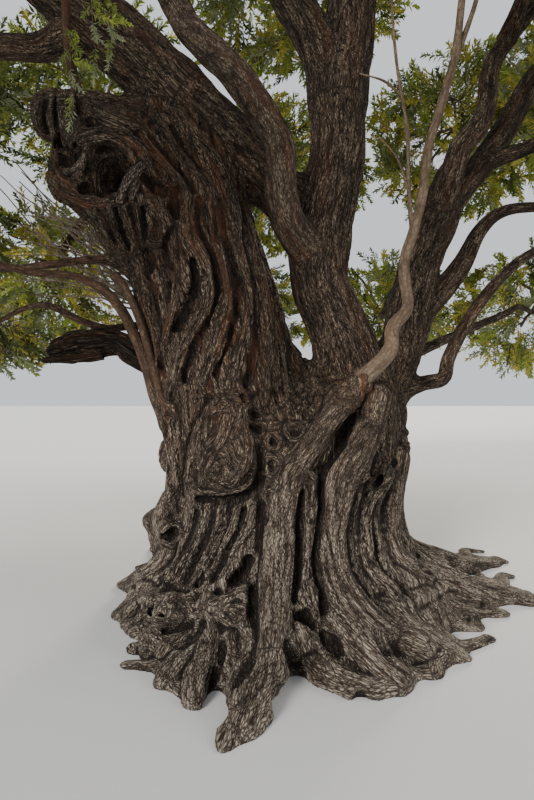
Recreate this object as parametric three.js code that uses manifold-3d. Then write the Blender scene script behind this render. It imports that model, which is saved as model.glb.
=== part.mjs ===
// An ancient olive tree: two old stems grown together on a ribbed, root-flared foot, with open boughs
// that end in airy masses of twigs and leaves. Millimetres, +Z up. The origin is on the flat cut at
// ground level, under the middle of the trunk. -Y is the side from which the hollow burl is seen.

import * as THREE from "three";
import { mergeVertices } from "three/addons/utils/BufferGeometryUtils.js";
import Module from "manifold-3d";

const wasm = await Module();
wasm.setup();

// Driving dimensions
const METRE = 1000; // shapes are stated in metres and made in millimetres
const CLEAR = 0.3; // gap between a limb and what carries it
const GROUND_DEPTH = 400; // how far shapes run below the ground before the flat cut
const FOOT_RADIUS = 0.68; // where the roots leave the trunk's inside, in metres
const SEED = 1907;
const GOLDEN_ANGLE = Math.PI * (3 - Math.sqrt(5));
const BOUGH_ARCH = 0.06; // how far a bough's outer stretch arches up, as a share of its span
const RIM = 0.66; // where a bough ends, as a share of the reach of the mass that it enters

// A mass's twigs. The radius is at a twig's root and at its tip. They leave the stem from a share of its
// length on, bend by a share of their own, and end at a share of the mass's reach that varies and shrinks
// by steps, down to a least one, until the end has room. Sprays leave them at the stops.
const TWIG = {
  sides: 3, steps: 2, radius: [30, 18], from: 0.5, bend: 0.45,
  reach: 0.9, vary: 0.1, step: 0.06, least: 0.4, stops: [0.45, 0.75, 0.97],
};

// A spray is one blade. It is widest at a share of its length and leans off its twig by an angle in radians,
// less at the twig's tip, and it is turned round the twig a few times to find room.
const SPRAY = { length: 920, width: 310, thick: 38, widest: 0.4, lean: 0.72, tipLean: 0.29, tries: 3 };
const SPRAY_TURN = 2.4; // from one stop to the next, in radians
const SPRAY_RETRY_TURN = 2;
const STEM_SHARE = 0.92; // a mass's stem against the tip of its bough
const STEM_RISE = 0.08; // how far above a mass's middle its stem ends, as a share of its half height
const SPACE_MARGIN = 0.035; // share of its reach that a mass stays back from its neighbours
const LIMB_MARGIN = 45; // how far twigs and sprays stay off the limbs

const BARK = new THREE.MeshStandardMaterial({ color: 0x5a4838, roughness: 0.95, metalness: 0 });
const PALE_BARK = new THREE.MeshStandardMaterial({ color: 0x85705c, roughness: 0.9, metalness: 0 });
const DEAD_WOOD = new THREE.MeshStandardMaterial({ color: 0x3a2f27, roughness: 1, metalness: 0 });
const LEAF = new THREE.MeshStandardMaterial({
  color: 0x6d7a3c, roughness: 0.7, metalness: 0, flatShading: true,
});

// A stem is a list of stations, each [x, y, z, radius] in metres.
const STEMS = {
  left: [
    [-0.4, 0, -0.3, 0.76], [-0.43, -0.03, 0.5, 0.66], [-0.45, -0.05, 1.15, 0.59], [-0.53, -0.08, 1.86, 0.62],
    [-0.67, -0.1, 2.47, 0.61], [-0.8, -0.13, 2.94, 0.57],
    [-0.92, -0.14, 3.39, 0.52], [-1.02, -0.12, 3.78, 0.43],
    [-1.08, -0.1, 4.05, 0.28],
  ],
  centre: [
    [0.5, 0.05, -0.3, 0.62], [0.52, 0.05, 0.5, 0.53], [0.57, 0.05, 1.1, 0.47], [0.6, 0, 1.6, 0.4],
    [0.585, -0.02, 1.87, 0.31], [0.46, -0.06, 2.25, 0.265], [0.3, -0.1, 2.62, 0.25], [0.3, -0.1, 2.95, 0.245],
    [0.38, -0.1, 3.35, 0.243], [0.46, -0.1, 3.8, 0.24], [0.465, -0.1, 4.3, 0.26],
  ],
  right: [
    [0.62, 0.2, -0.3, 0.5], [0.68, 0.22, 0.9, 0.38], [0.9, 0.3, 1.68, 0.29], [1.13, 0.3, 2.13, 0.21],
    [1.21, 0.3, 2.56, 0.19], [1.36, 0.35, 3.04, 0.19], [1.5, 0.4, 3.34, 0.185],
  ],
  back: [
    [0.05, 0.3, -0.3, 0.75], [0.05, 0.32, 0.6, 0.6], [0, 0.3, 1.3, 0.52], [-0.1, 0.18, 1.8, 0.35],
  ],
  front: [
    [0.1, -0.28, -0.3, 0.72], [0.12, -0.32, 0.5, 0.56], [0.16, -0.34, 1.1, 0.45], [0.2, -0.2, 1.45, 0.32],
    [0.24, -0.05, 1.72, 0.16],
  ],
  foot: [
    [0.02, -0.1, -0.3, 1.62], [0.02, -0.1, 0.02, 1.34], [0.02, -0.06, 0.26, 1.08], [0.02, 0, 0.55, 0.92],
    [0.02, 0.05, 0.95, 0.76],
  ],
  bridge: [
    [0.36, -0.04, 2.95, 0.17], [0.1, -0.04, 3.28, 0.21], [-0.18, -0.05, 3.56, 0.23], [-0.54, -0.1, 3.9, 0.26],
    [-0.95, -0.2, 4.2, 0.28],
  ],
};

// Ribs that stand on the front of the trunk, as [x, z, radius, how far the middle is sunk].
const RIBS = {
  knuckle: [
    [0.4, 1.58, 0.13, 0.04], [0.28, 1.42, 0.13, 0.03],
    [0.15, 1.24, 0.14, 0.03], [0.02, 1.05, 0.13, 0.05],
  ],
  left_leg: [
    [0, 1.12, 0.14, 0.04], [-0.04, 0.8, 0.12, 0.05],
    [-0.09, 0.45, 0.15, 0.02], [-0.12, 0.1, 0.17, -0.1],
  ],
  middle_leg: [[0.14, 1.0, 0.08, 0.03], [0.14, 0.6, 0.09, 0.02], [0.12, 0.2, 0.11, -0.05]],
  shoulder: [
    [0.62, 1.58, 0.17, 0.02], [0.56, 1.3, 0.18, 0.02], [0.44, 1.02, 0.15, 0.01], [0.36, 0.75, 0.14, 0.01],
    [0.33, 0.4, 0.16, -0.04], [0.42, 0.05, 0.17, -0.18],
  ],
  right_leg: [
    [0.78, 1.0, 0.11, 0.02], [0.58, 0.7, 0.1, 0.02],
    [0.6, 0.35, 0.11, -0.02], [0.72, 0.02, 0.11, -0.1],
  ],
  side_leg: [[0.96, 1.1, 0.11, 0.03], [0.86, 0.7, 0.11, 0.03], [0.9, 0.3, 0.11, 0], [1.02, 0, 0.1, -0.02]],
  pale_ridge: [
    [-0.62, 1.55, 0.07, 0.02], [-0.68, 1.1, 0.08, 0.02],
    [-0.72, 0.6, 0.09, 0], [-0.8, 0.05, 0.1, -0.14],
  ],
};

// Burls, as [x, y, z, half width, half depth, half height].
const BURLS = [
  [-0.46, -0.62, 1.16, 0.29, 0.22, 0.27],
  [-0.5, -0.56, 1.46, 0.2, 0.17, 0.26],
  [-0.9, -0.3, 0.52, 0.24, 0.28, 0.3],
  [-1.46, -0.36, 3.48, 0.45, 0.4, 0.43],
  [-1.2, -0.3, 3.12, 0.4, 0.38, 0.4],
  [0.88, 0.1, 1.32, 0.2, 0.24, 0.26],
  [0.5, 0.72, 0.9, 0.28, 0.2, 0.34],
];

const FINE_BURL = 0.26; // half width above which a burl is made rounder

// Hollows cut into the trunk, laid out as the burls are.
const HOLLOWS = [
  [-1.42, -0.76, 3.42, 0.15, 0.24, 0.22],
  [-1.74, -0.5, 3.62, 0.1, 0.16, 0.08],
  [-0.36, -1.0, 0.34, 0.12, 0.26, 0.26],
];

// A root is [bearing at its foot, bearing at its tip, reach, height where it leaves the trunk, radius there],
// with bearings in degrees from +X towards +Y, and lengths in metres.
const ROOTS = [
  [-96, -100, 2.2, 0.62, 0.16],
  [-84, -76, 1.82, 0.4, 0.11],
  [-74, -70, 1.74, 0.5, 0.15],
  [-58, -51, 1.78, 0.5, 0.15],
  [-24, -8, 2.12, 0.5, 0.17],
  [2, 15, 2.32, 0.42, 0.15],
  [38, 42, 1.8, 0.5, 0.17],
  [66, 74, 2.05, 0.46, 0.16],
  [98, 92, 1.75, 0.52, 0.18],
  [122, 130, 2.1, 0.44, 0.16],
  [150, 148, 1.7, 0.5, 0.17],
  [182, 187, 1.5, 0.4, 0.15],
  [-152, -147, 1.5, 0.42, 0.15],
  [-130, -126, 1.42, 0.4, 0.14],
  [-120, -115, 1.8, 0.42, 0.12],
  [-108, -105, 1.86, 0.4, 0.11],
];
const ROOT_TIP = 0.62; // radius at a root's tip, as a share of its radius at the trunk
const ROOT_SHARES = [0, 0.33, 0.66, 1]; // where a root's stations lie along it
const ROOT_FALL = 1.6; // how steeply it falls near the trunk
const ROOT_SUNK = [0.1, 1.05]; // how far its middle is sunk, in radii, at the trunk and at the tip

// The sawn-off limb beside the hollow burl, and the torn dead stub on the left.
const CUT_STUB = [[-1.3, -0.25, 3.86, 0.26], [-1.65, -0.3, 3.93, 0.225], [-2.02, -0.35, 3.92, 0.2]];
const DEAD_STUB = [
  [-0.95, -0.12, 1.84, 0.13], [-1.25, -0.2, 1.98, 0.105],
  [-1.42, -0.2, 2.08, 0.1], [-1.63, -0.2, 2.08, 0.115],
  [-1.83, -0.2, 2.06, 0.1], [-2.02, -0.2, 2.0, 0.05],
];

// Masses of foliage: middle and reach along x, y and z, in metres, and how many twigs leave the stem.
const MASSES = {
  crown_top_left: { at: [-0.9, 0.4, 7.95], reach: [1.75, 1.6, 1.4], twigs: 5 },
  crown_top_right: { at: [1.5, -0.2, 7.8], reach: [1.7, 1.6, 1.35], twigs: 5 },
  crown_top_back: { at: [0.3, 2.4, 7.4], reach: [1.7, 1.5, 1.35], twigs: 5 },
  crown_high_front_left: { at: [-1.9, -1.9, 6.9], reach: [1.6, 1.5, 1.25], twigs: 5 },
  crown_high_front_right: { at: [1.0, -2.6, 6.7], reach: [1.6, 1.5, 1.25], twigs: 5 },
  crown_left_front: { at: [-4.0, -1.2, 6.1], reach: [1.6, 1.5, 1.3], twigs: 5 },
  crown_left: { at: [-4.4, 1.0, 5.2], reach: [1.5, 1.5, 1.25], twigs: 5 },
  crown_right_front: { at: [3.7, -0.9, 6.5], reach: [1.6, 1.5, 1.3], twigs: 5 },
  crown_right: { at: [4.2, 1.7, 5.7], reach: [1.6, 1.5, 1.3], twigs: 5 },
  crown_right_mid: { at: [4.7, -0.7, 4.6], reach: [1.4, 1.4, 1.1], twigs: 5 },
  crown_back_left: { at: [-2.7, 3.1, 6.1], reach: [1.7, 1.6, 1.4], twigs: 5 },
  crown_back: { at: [0.1, 4.4, 5.6], reach: [1.7, 1.5, 1.4], twigs: 5 },
  crown_back_right: { at: [3.0, 3.6, 5.9], reach: [1.6, 1.5, 1.35], twigs: 5 },
  crown_front: { at: [-0.5, -4.2, 5.4], reach: [1.6, 1.4, 1.2], twigs: 5 },
  crown_front_left: { at: [-3.2, -3.4, 4.8], reach: [1.6, 1.4, 1.2], twigs: 5 },
  crown_front_right: { at: [2.9, -3.4, 5.0], reach: [1.6, 1.4, 1.2], twigs: 5 },
  crown_inner_right: { at: [1.5, -0.9, 6.05], reach: [0.75, 0.7, 0.6], twigs: 3 },
  skirt_left: { at: [-3.8, -0.1, 3.1], reach: [1.2, 1.1, 0.9], twigs: 4 },
  skirt_left_front: { at: [-3.1, -1.4, 2.6], reach: [0.9, 0.8, 0.65], twigs: 3 },
  skirt_left_low: { at: [-3.3, 0.7, 2.3], reach: [0.9, 0.9, 0.6], twigs: 3 },
  skirt_back_left: { at: [-3.7, 3.0, 3.4], reach: [1.6, 1.5, 1.25], twigs: 5 },
  skirt_back: { at: [-0.9, 4.8, 3.2], reach: [1.6, 1.4, 1.25], twigs: 5 },
  skirt_back_right: { at: [1.9, 4.6, 3.1], reach: [1.5, 1.4, 1.2], twigs: 5 },
  skirt_right: { at: [4.3, 0.8, 3.4], reach: [1.3, 1.1, 0.95], twigs: 4 },
  skirt_right_front: { at: [3.8, -1.0, 2.75], reach: [1.1, 1.0, 0.75], twigs: 3 },
  skirt_right_back: { at: [3.9, 2.7, 2.9], reach: [1.4, 1.2, 1.0], twigs: 5 },
};

// Boughs. path is stations in metres, and the tip follows from the mass that the bough enters. collar is the
// station up to which the bough is one with what carries it. A side bough starts inside its parent.
const BOUGHS = {
  bough_left_diagonal: {
    on: "trunk", collar: 1.3, into: "crown_left_front", tip: 0.085,
    path: [
      [-0.95, -0.2, 4.2, 0.28], [-1.25, -0.3, 4.46, 0.27],
      [-1.56, -0.4, 4.69, 0.26], [-1.95, -0.5, 4.98, 0.23],
    ],
  },
  bough_left_level: {
    on: "bough_left_diagonal", collar: 0.9, into: "crown_left", tip: 0.06,
    path: [[-1.56, -0.4, 4.66, 0.13], [-1.98, -0.34, 4.52, 0.105], [-2.4, -0.25, 4.58, 0.098]],
  },
  bough_front_left: {
    on: "bough_left_diagonal", collar: 0.75, into: "crown_front_left", tip: 0.055,
    path: [[-1.95, -0.5, 4.98, 0.15], [-2.15, -1.05, 5.0, 0.12]],
  },
  bough_front_curved: {
    on: "trunk", collar: 1.25, into: "crown_high_front_left", tip: 0.06,
    path: [
      [0.3, -0.1, 2.78, 0.17], [0.06, -0.34, 2.99, 0.145],
      [-0.04, -0.43, 3.24, 0.13], [-0.056, -0.48, 3.6, 0.122],
      [-0.17, -0.5, 3.83, 0.12], [-0.38, -0.54, 4.12, 0.12],
      [-0.66, -0.57, 4.38, 0.118], [-0.88, -0.6, 4.68, 0.115],
    ],
  },
  bough_front: {
    on: "bough_front_curved", collar: 0.7, into: "crown_front", tip: 0.045,
    path: [[-0.88, -0.6, 4.68, 0.085], [-0.75, -1.15, 5.1, 0.075]],
  },
  bough_centre_left: {
    on: "trunk", collar: 2.6, into: "crown_top_left", tip: 0.08,
    path: [
      [0.45, -0.1, 4.25, 0.2], [0.3, -0.12, 4.64, 0.178],
      [0.14, -0.12, 4.94, 0.168], [0.0, -0.1, 5.2, 0.16],
    ],
  },
  bough_centre_right: {
    on: "trunk", collar: 1.7, into: "crown_top_right", tip: 0.09,
    path: [
      [0.47, -0.1, 4.25, 0.24], [0.55, -0.1, 4.7, 0.228],
      [0.59, -0.1, 5.15, 0.215], [0.72, -0.14, 5.7, 0.19],
    ],
  },
  bough_high_front: {
    on: "bough_centre_right", collar: 0.8, into: "crown_high_front_right", tip: 0.06,
    path: [[0.72, -0.14, 5.7, 0.13], [0.8, -0.7, 6.0, 0.11]],
  },
  bough_centre_back: {
    on: "trunk", collar: 0.9, into: "crown_top_back", tip: 0.07,
    path: [[0.46, -0.1, 3.75, 0.16], [0.5, 0.42, 4.2, 0.145], [0.42, 0.95, 4.9, 0.13]],
  },
  bough_right_upright: {
    on: "trunk", collar: 1.15, into: "crown_right_front", tip: 0.055,
    path: [
      [1.44, 0.37, 3.2, 0.14], [1.6, 0.3, 3.72, 0.115], [1.69, 0.3, 4.0, 0.108], [1.88, 0.32, 4.24, 0.1],
      [1.98, 0.36, 4.5, 0.094], [2.02, 0.4, 4.8, 0.09], [2.2, 0.42, 5.14, 0.085],
    ],
  },
  bough_front_right: {
    on: "bough_right_upright", collar: 0.6, into: "crown_front_right", tip: 0.045,
    path: [[2.2, 0.42, 5.14, 0.07], [2.2, -0.1, 5.4, 0.065], [2.25, -0.8, 5.5, 0.06]],
  },
  bough_right_main: {
    on: "trunk", collar: 1.15, into: "crown_right", tip: 0.065,
    path: [
      [1.5, 0.4, 3.3, 0.155], [1.74, 0.5, 3.66, 0.138], [1.94, 0.55, 3.9, 0.132], [2.13, 0.58, 4.15, 0.126],
      [2.35, 0.62, 4.5, 0.12], [2.62, 0.66, 4.95, 0.11],
    ],
  },
  bough_right_cross: {
    on: "bough_right_main", collar: 0.8, into: "crown_right_mid", tip: 0.045,
    path: [[2.02, 0.56, 4.02, 0.08], [2.36, 0.42, 4.06, 0.068], [2.62, 0.3, 4.16, 0.062]],
  },
  bough_right_low: {
    on: "trunk", collar: 1.1, into: "skirt_right", tip: 0.035,
    path: [
      [1.24, 0.3, 2.36, 0.14], [1.6, 0.38, 2.74, 0.11], [1.77, 0.42, 2.96, 0.095], [1.92, 0.46, 3.23, 0.076],
      [2.12, 0.5, 3.44, 0.06], [2.4, 0.55, 3.54, 0.053],
    ],
  },
  bough_right_thin: {
    on: "trunk", collar: 0.9, into: "skirt_right_back", tip: 0.03,
    path: [
      [1.08, 0.3, 1.96, 0.06], [1.5, 0.5, 2.15, 0.05],
      [1.95, 0.72, 2.34, 0.045], [2.5, 1.1, 2.56, 0.04],
    ],
  },
  bough_right_knee: {
    on: "trunk", collar: 1.6, into: "skirt_right_front", tip: 0.03,
    path: [
      [0.92, 0.22, 1.62, 0.09], [1.27, 0.15, 1.75, 0.074],
      [1.46, 0.12, 1.8, 0.068], [1.51, 0.12, 1.98, 0.062],
      [1.62, 0.1, 2.22, 0.058], [1.74, 0.06, 2.44, 0.055], [1.9, 0, 2.66, 0.05], [2.12, -0.08, 2.86, 0.045],
      [2.5, -0.2, 3.02, 0.04],
    ],
  },
  stem_pale: {
    on: "trunk", collar: 0.7, into: "crown_inner_right", tip: 0.022, bark: PALE_BARK,
    path: [
      [0.42, -0.55, 1.6, 0.1], [0.6, -0.56, 1.78, 0.072],
      [0.82, -0.46, 1.99, 0.062], [0.86, -0.4, 2.18, 0.056],
      [1.0, -0.34, 2.37, 0.054], [0.98, -0.32, 2.58, 0.048],
      [0.99, -0.3, 2.8, 0.046], [1.06, -0.3, 3.0, 0.046],
      [1.13, -0.3, 3.3, 0.045], [1.18, -0.32, 3.7, 0.042],
      [1.28, -0.35, 4.05, 0.04], [1.37, -0.4, 4.42, 0.036],
      [1.4, -0.5, 4.9, 0.03],
    ],
  },
  shoot_left_tall: {
    on: "trunk", collar: 1.4, into: "skirt_left_front", tip: 0.02, bark: PALE_BARK,
    path: [
      [-0.98, -0.3, 1.4, 0.06], [-1.09, -0.36, 1.66, 0.05],
      [-1.15, -0.4, 1.91, 0.044], [-1.25, -0.42, 2.17, 0.042],
      [-1.37, -0.44, 2.38, 0.04], [-1.5, -0.48, 2.5, 0.036],
      [-1.68, -0.55, 2.57, 0.032], [-1.95, -0.7, 2.56, 0.028],
    ],
  },
  shoot_left_arched: {
    on: "trunk", collar: 2.4, into: "skirt_left", tip: 0.025,
    path: [
      [-1.1, -0.25, 2.52, 0.055], [-1.3, -0.3, 2.66, 0.043],
      [-1.48, -0.33, 2.75, 0.037], [-1.72, -0.33, 2.75, 0.034],
      [-2.0, -0.32, 2.72, 0.032], [-2.4, -0.28, 2.7, 0.03],
    ],
  },
  shoot_left_low: {
    on: "trunk", collar: 1.2, into: "skirt_left_low", tip: 0.022,
    path: [
      [-1.05, -0.02, 2.26, 0.045], [-1.35, -0.02, 2.26, 0.036],
      [-1.6, -0.02, 2.24, 0.034], [-1.85, 0, 2.32, 0.032],
      [-2.15, 0.06, 2.46, 0.03],
    ],
  },
  bough_back_left: {
    on: "trunk", collar: 1.0, into: "crown_back_left", tip: 0.08,
    path: [[-0.85, -0.1, 2.95, 0.24], [-1.15, 0.55, 3.5, 0.19], [-1.5, 1.15, 4.1, 0.165]],
  },
  bough_back_left_low: {
    on: "bough_back_left", collar: 0.8, into: "skirt_back_left", tip: 0.05,
    path: [[-1.5, 1.15, 4.1, 0.11], [-2.0, 1.55, 4.15, 0.09]],
  },
  bough_back: {
    on: "trunk", collar: 0.9, into: "crown_back", tip: 0.08,
    path: [
      [-0.05, 0.3, 1.5, 0.26], [-0.3, 0.95, 2.2, 0.2],
      [-0.52, 1.6, 3.0, 0.175], [-0.75, 2.3, 3.9, 0.15],
    ],
  },
  bough_back_low: {
    on: "bough_back", collar: 0.8, into: "skirt_back", tip: 0.05,
    path: [[-0.52, 1.6, 3.0, 0.11], [-0.75, 2.15, 3.15, 0.09]],
  },
  bough_back_right: {
    on: "trunk", collar: 0.9, into: "crown_back_right", tip: 0.075,
    path: [[1.18, 0.32, 2.3, 0.17], [1.45, 0.85, 2.85, 0.145], [1.75, 1.45, 3.6, 0.13]],
  },
  bough_back_right_low: {
    on: "bough_back_right", collar: 0.8, into: "skirt_back_right", tip: 0.045,
    path: [[1.45, 0.85, 2.85, 0.09], [1.5, 1.4, 2.95, 0.08]],
  },
};

// Numbers from 0 to 1 that are the same on every run.
function seeded(seed) {
  let state = seed >>> 0;
  return () => {
    state = (state + 0x6d2b79f5) >>> 0;
    let mixed = Math.imul(state ^ (state >>> 15), 1 | state);
    mixed = (mixed + Math.imul(mixed ^ (mixed >>> 7), 61 | mixed)) ^ mixed;
    return ((mixed ^ (mixed >>> 14)) >>> 0) / 4294967296;
  };
}

const metres = (x, y, z) => new THREE.Vector3(x, y, z).multiplyScalar(METRE);

// A smooth line through stations, with the radius worked out along it. t counts stations.
function lineThrough(stations) {
  const points = stations.map(([x, y, z]) => metres(x, y, z));
  const curve = new THREE.CatmullRomCurve3(points, false, "catmullrom", 0.5);
  const last = stations.length - 1;
  const at = (t) => curve.getPoint(Math.min(Math.max(t / last, 0), 1));
  return {
    last,
    at,
    along: (t) => at(t + 0.02).sub(at(t - 0.02)).normalize(),
    radius: (t) => {
      const low = Math.min(Math.floor(t), last - 1);
      const share = Math.min(t, last) - low;
      return METRE * (stations[low][3] * (1 - share) + stations[low + 1][3] * share);
    },
  };
}

// The closed geometry as a solid for joining and cutting.
function solid(geometry) {
  geometry.deleteAttribute("normal");
  geometry.deleteAttribute("uv");
  const merged = mergeVertices(geometry, 1e-3);
  const triVerts = new Uint32Array(merged.index.array);
  const vertProperties = merged.attributes.position.array;
  return new wasm.Manifold(new wasm.Mesh({ numProp: 3, vertProperties, triVerts }));
}

// A round solid along a line from t0 to t1. A cylinder's rings are laid on the line, each turned as little as
// it can be from the one before, and lead moves the first ring on along the line.
function tube(line, { t0 = 0, t1 = line.last, sides = 8, steps = 6, lead = 0, radius = line.radius } = {}) {
  const rings = [];
  let across = null;
  for (let i = 0; i <= steps; i++) {
    const t = t0 + ((t1 - t0) * i) / steps;
    const ahead = line.along(t);
    across ??= Math.abs(ahead.z) > 0.9 ? new THREE.Vector3(1, 0, 0) : new THREE.Vector3(0, 0, 1);
    across = across.clone().addScaledVector(ahead, -across.dot(ahead)).normalize();
    const middle = line.at(t).addScaledVector(ahead, i === 0 ? lead : 0);
    rings.push({ middle, across, side: across.clone().cross(ahead), radius: radius(t) });
  }
  const geometry = new THREE.CylinderGeometry(1, 1, 1, sides, steps);
  const position = geometry.getAttribute("position");
  for (let i = 0; i < position.count; i++) {
    const ring = rings[Math.round((position.getY(i) + 0.5) * steps)];
    const moved = ring.middle
      .clone()
      .addScaledVector(ring.across, position.getX(i) * ring.radius)
      .addScaledVector(ring.side, position.getZ(i) * ring.radius);
    position.setXYZ(i, moved.x, moved.y, moved.z);
  }
  return solid(geometry);
}

// An egg-shaped solid from its middle and half sizes, in metres.
function egg([x, y, z, halfX, halfY, halfZ], detail) {
  const geometry = new THREE.IcosahedronGeometry(METRE, detail);
  geometry.scale(halfX, halfY, halfZ);
  geometry.translate(x * METRE, y * METRE, z * METRE);
  return solid(geometry);
}

// How far forward the trunk's stems reach at x and z, as y in metres.
function frontOf(x, z) {
  const faces = Object.values(STEMS).map((stations) => {
    const line = lineThrough(stations);
    let low = 0;
    while (low < line.last && line.at(low).z < z * METRE) low += 0.1;
    const middle = line.at(low);
    const radius = line.radius(low);
    const aside = x * METRE - middle.x;
    const covered = low < line.last && Math.abs(aside) < radius;
    return covered ? (middle.y - Math.sqrt(radius ** 2 - aside ** 2)) / METRE : Infinity;
  });
  const nearest = Math.min(...faces);
  return Number.isFinite(nearest) ? nearest : 0;
}

// The stations of a rib that follows the front of the trunk.
const ribStations = (rib) =>
  rib.map(([x, z, radius, sunk]) => [x, frontOf(x, Math.max(z, 0.05)) + sunk, z, radius]);

// The stations of a root, which leaves the trunk high and flattens as it runs out.
function rootStations([footBearing, tipBearing, reach, height, radius]) {
  return ROOT_SHARES.map((share) => {
    const bearing = THREE.MathUtils.degToRad(footBearing + (tipBearing - footBearing) * share ** 2);
    const out = FOOT_RADIUS + (reach - FOOT_RADIUS) * share;
    const girth = radius * (1 - (1 - ROOT_TIP) * share);
    const sunk = girth * (ROOT_SUNK[0] + (ROOT_SUNK[1] - ROOT_SUNK[0]) * share ** 2);
    const rise = height * (1 - share) ** ROOT_FALL - sunk;
    return [out * Math.cos(bearing), out * Math.sin(bearing), rise, girth];
  });
}

// A bough's stations, with its tip where it enters its mass.
function boughStations({ path, into, tip }) {
  const mass = MASSES[into];
  const last = path[path.length - 1];
  const away = mass.at.map((middle, i) => last[i] - middle);
  const size = Math.hypot(...away.map((value, i) => value / mass.reach[i]));
  const end = mass.at.map((middle, i) => middle + (away[i] / size) * RIM);
  const half = end.map((value, i) => (value + last[i]) / 2);
  const span = Math.hypot(...end.map((value, i) => value - last[i]));
  half[2] += span * BOUGH_ARCH;
  return [...path, [...half, (last[3] + tip) / 2], [...end, tip]];
}

const lines = Object.fromEntries(
  Object.entries(BOUGHS).map(([name, bough]) => [name, lineThrough(boughStations(bough))]),
);
const stemLines = Object.values(STEMS).map(lineThrough);
const stubLines = [lineThrough(CUT_STUB), lineThrough(DEAD_STUB)];
const DEAD_STUB_START = 1;

// Rounder and finer for a thick limb than for a thin one.
const sidesFor = (radius) => (radius > 150 ? 9 : radius > 70 ? 6 : 5);
const stepsFor = (line, t0, t1) => Math.max(2, Math.ceil((t1 - t0) * (line.last > 8 ? 1 : 1.4)));

// The collars of the boughs that one piece carries, as solids to join to it.
function collarsOn(carrier) {
  return Object.entries(BOUGHS)
    .filter(([, bough]) => bough.on === carrier)
    .map(([name, { collar }]) => {
      const sides = sidesFor(lines[name].radius(0));
      return tube(lines[name], { t1: collar, sides, steps: 2 });
    });
}

const joined = (first, others) => others.reduce((whole, part) => whole.add(part), first);

// The surface of a shape as a geometry with positions and triangles only.
function surfaceOf(shape) {
  const { vertProperties, numProp, numVert, triVerts } = shape.getMesh();
  const position = new Float32Array(numVert * 3);
  for (let i = 0; i < numVert; i++) {
    position.set(vertProperties.subarray(i * numProp, i * numProp + 3), i * 3);
  }
  const geometry = new THREE.BufferGeometry();
  geometry.setAttribute("position", new THREE.BufferAttribute(position, 3));
  geometry.setIndex(new THREE.BufferAttribute(new Uint32Array(triVerts), 1));
  return geometry;
}

// The outer skin of a shape's largest piece, so that sealed hollows are filled and scraps are dropped. The
// shape is made afresh from its surface first, which parts skins that only touch.
function largest(shape) {
  const pieces = solid(surfaceOf(shape)).decompose();
  return pieces.reduce((most, piece) => (piece.volume() > most.volume() ? piece : most));
}

function trunkSolid() {
  const stems = stemLines.map((line) => tube(line, { sides: 10, steps: line.last }));
  const ribLines = Object.values(RIBS).map((rib) => lineThrough(ribStations(rib)));
  const ribs = ribLines.map((line) => tube(line, { sides: 5, steps: line.last }));
  const roots = ROOTS.map((root) => tube(lineThrough(rootStations(root)), { sides: 6, steps: 3 }));
  const stubs = [
    tube(stubLines[0], { sides: 10, steps: 3 }),
    tube(stubLines[1], { t1: DEAD_STUB_START, steps: 2 }),
  ];
  const burls = BURLS.map((burl) => egg(burl, burl[3] > FINE_BURL ? 2 : 1));
  const grown = [...ribs, ...roots, ...burls, ...stubs, ...collarsOn("trunk")];
  const whole = joined(stems[0], [...stems.slice(1), ...grown]);
  const hollowed = HOLLOWS.reduce((left, hollow) => left.subtract(egg(hollow, 1)), whole);
  const block = new THREE.BoxGeometry(8 * METRE, 8 * METRE, GROUND_DEPTH * 2);
  block.translate(0, 0, -GROUND_DEPTH);
  return largest(hollowed.subtract(solid(block)));
}

function boughSolid(name) {
  const { collar } = BOUGHS[name];
  const line = lines[name];
  const limb = tube(line, {
    t0: collar,
    sides: sidesFor(line.radius(collar)),
    steps: stepsFor(line, collar, line.last),
    lead: CLEAR,
  });
  return joined(limb, collarsOn(name));
}

// How far a point is from a mass's middle, as a share of the mass's reach.
const shareOf = (point, { at, reach }) =>
  Math.hypot(...[point.x, point.y, point.z].map((value, i) => (value / METRE - at[i]) / reach[i]));

const limbSamples = [...Object.values(lines), ...stemLines, ...stubLines].flatMap((line) => {
  const count = line.last * 6;
  return Array.from({ length: count + 1 }, (_, i) => {
    const t = (line.last * i) / count;
    return { middle: line.at(t), radius: line.radius(t) };
  });
});

// True where a point lies in the mass's own space and clear of every limb.
function inSpace(point, mass) {
  const own = shareOf(point, mass);
  const others = Object.values(MASSES).filter((other) => other !== mass);
  const free = others.every((other) => shareOf(point, other) > own + SPACE_MARGIN);
  const clear = (limb) => limb.middle.distanceTo(point) > limb.radius + LIMB_MARGIN;
  return own <= 1 && free && limbSamples.every(clear);
}

// A line that leaves start along heading and bends to end, with a radius that runs from r0 to r1.
function bentLine(start, heading, end, r0, r1) {
  const reach = start.distanceTo(end);
  const knee = start.clone().addScaledVector(heading, reach * TWIG.bend);
  const curve = new THREE.QuadraticBezierCurve3(start, knee, end);
  return {
    last: 1,
    at: (t) => curve.getPoint(t),
    along: (t) => curve.getTangent(t),
    radius: (t) => r0 + (r1 - r0) * t,
  };
}

// The n-th of count directions spread evenly over a ball, each a golden angle on from the last.
function spread(n, count, turn) {
  const height = 1 - (2 * (n + 0.5)) / count;
  const angle = turn + n * GOLDEN_ANGLE;
  const flat = Math.sqrt(1 - height ** 2);
  return new THREE.Vector3(flat * Math.cos(angle), flat * Math.sin(angle), height);
}

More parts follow.
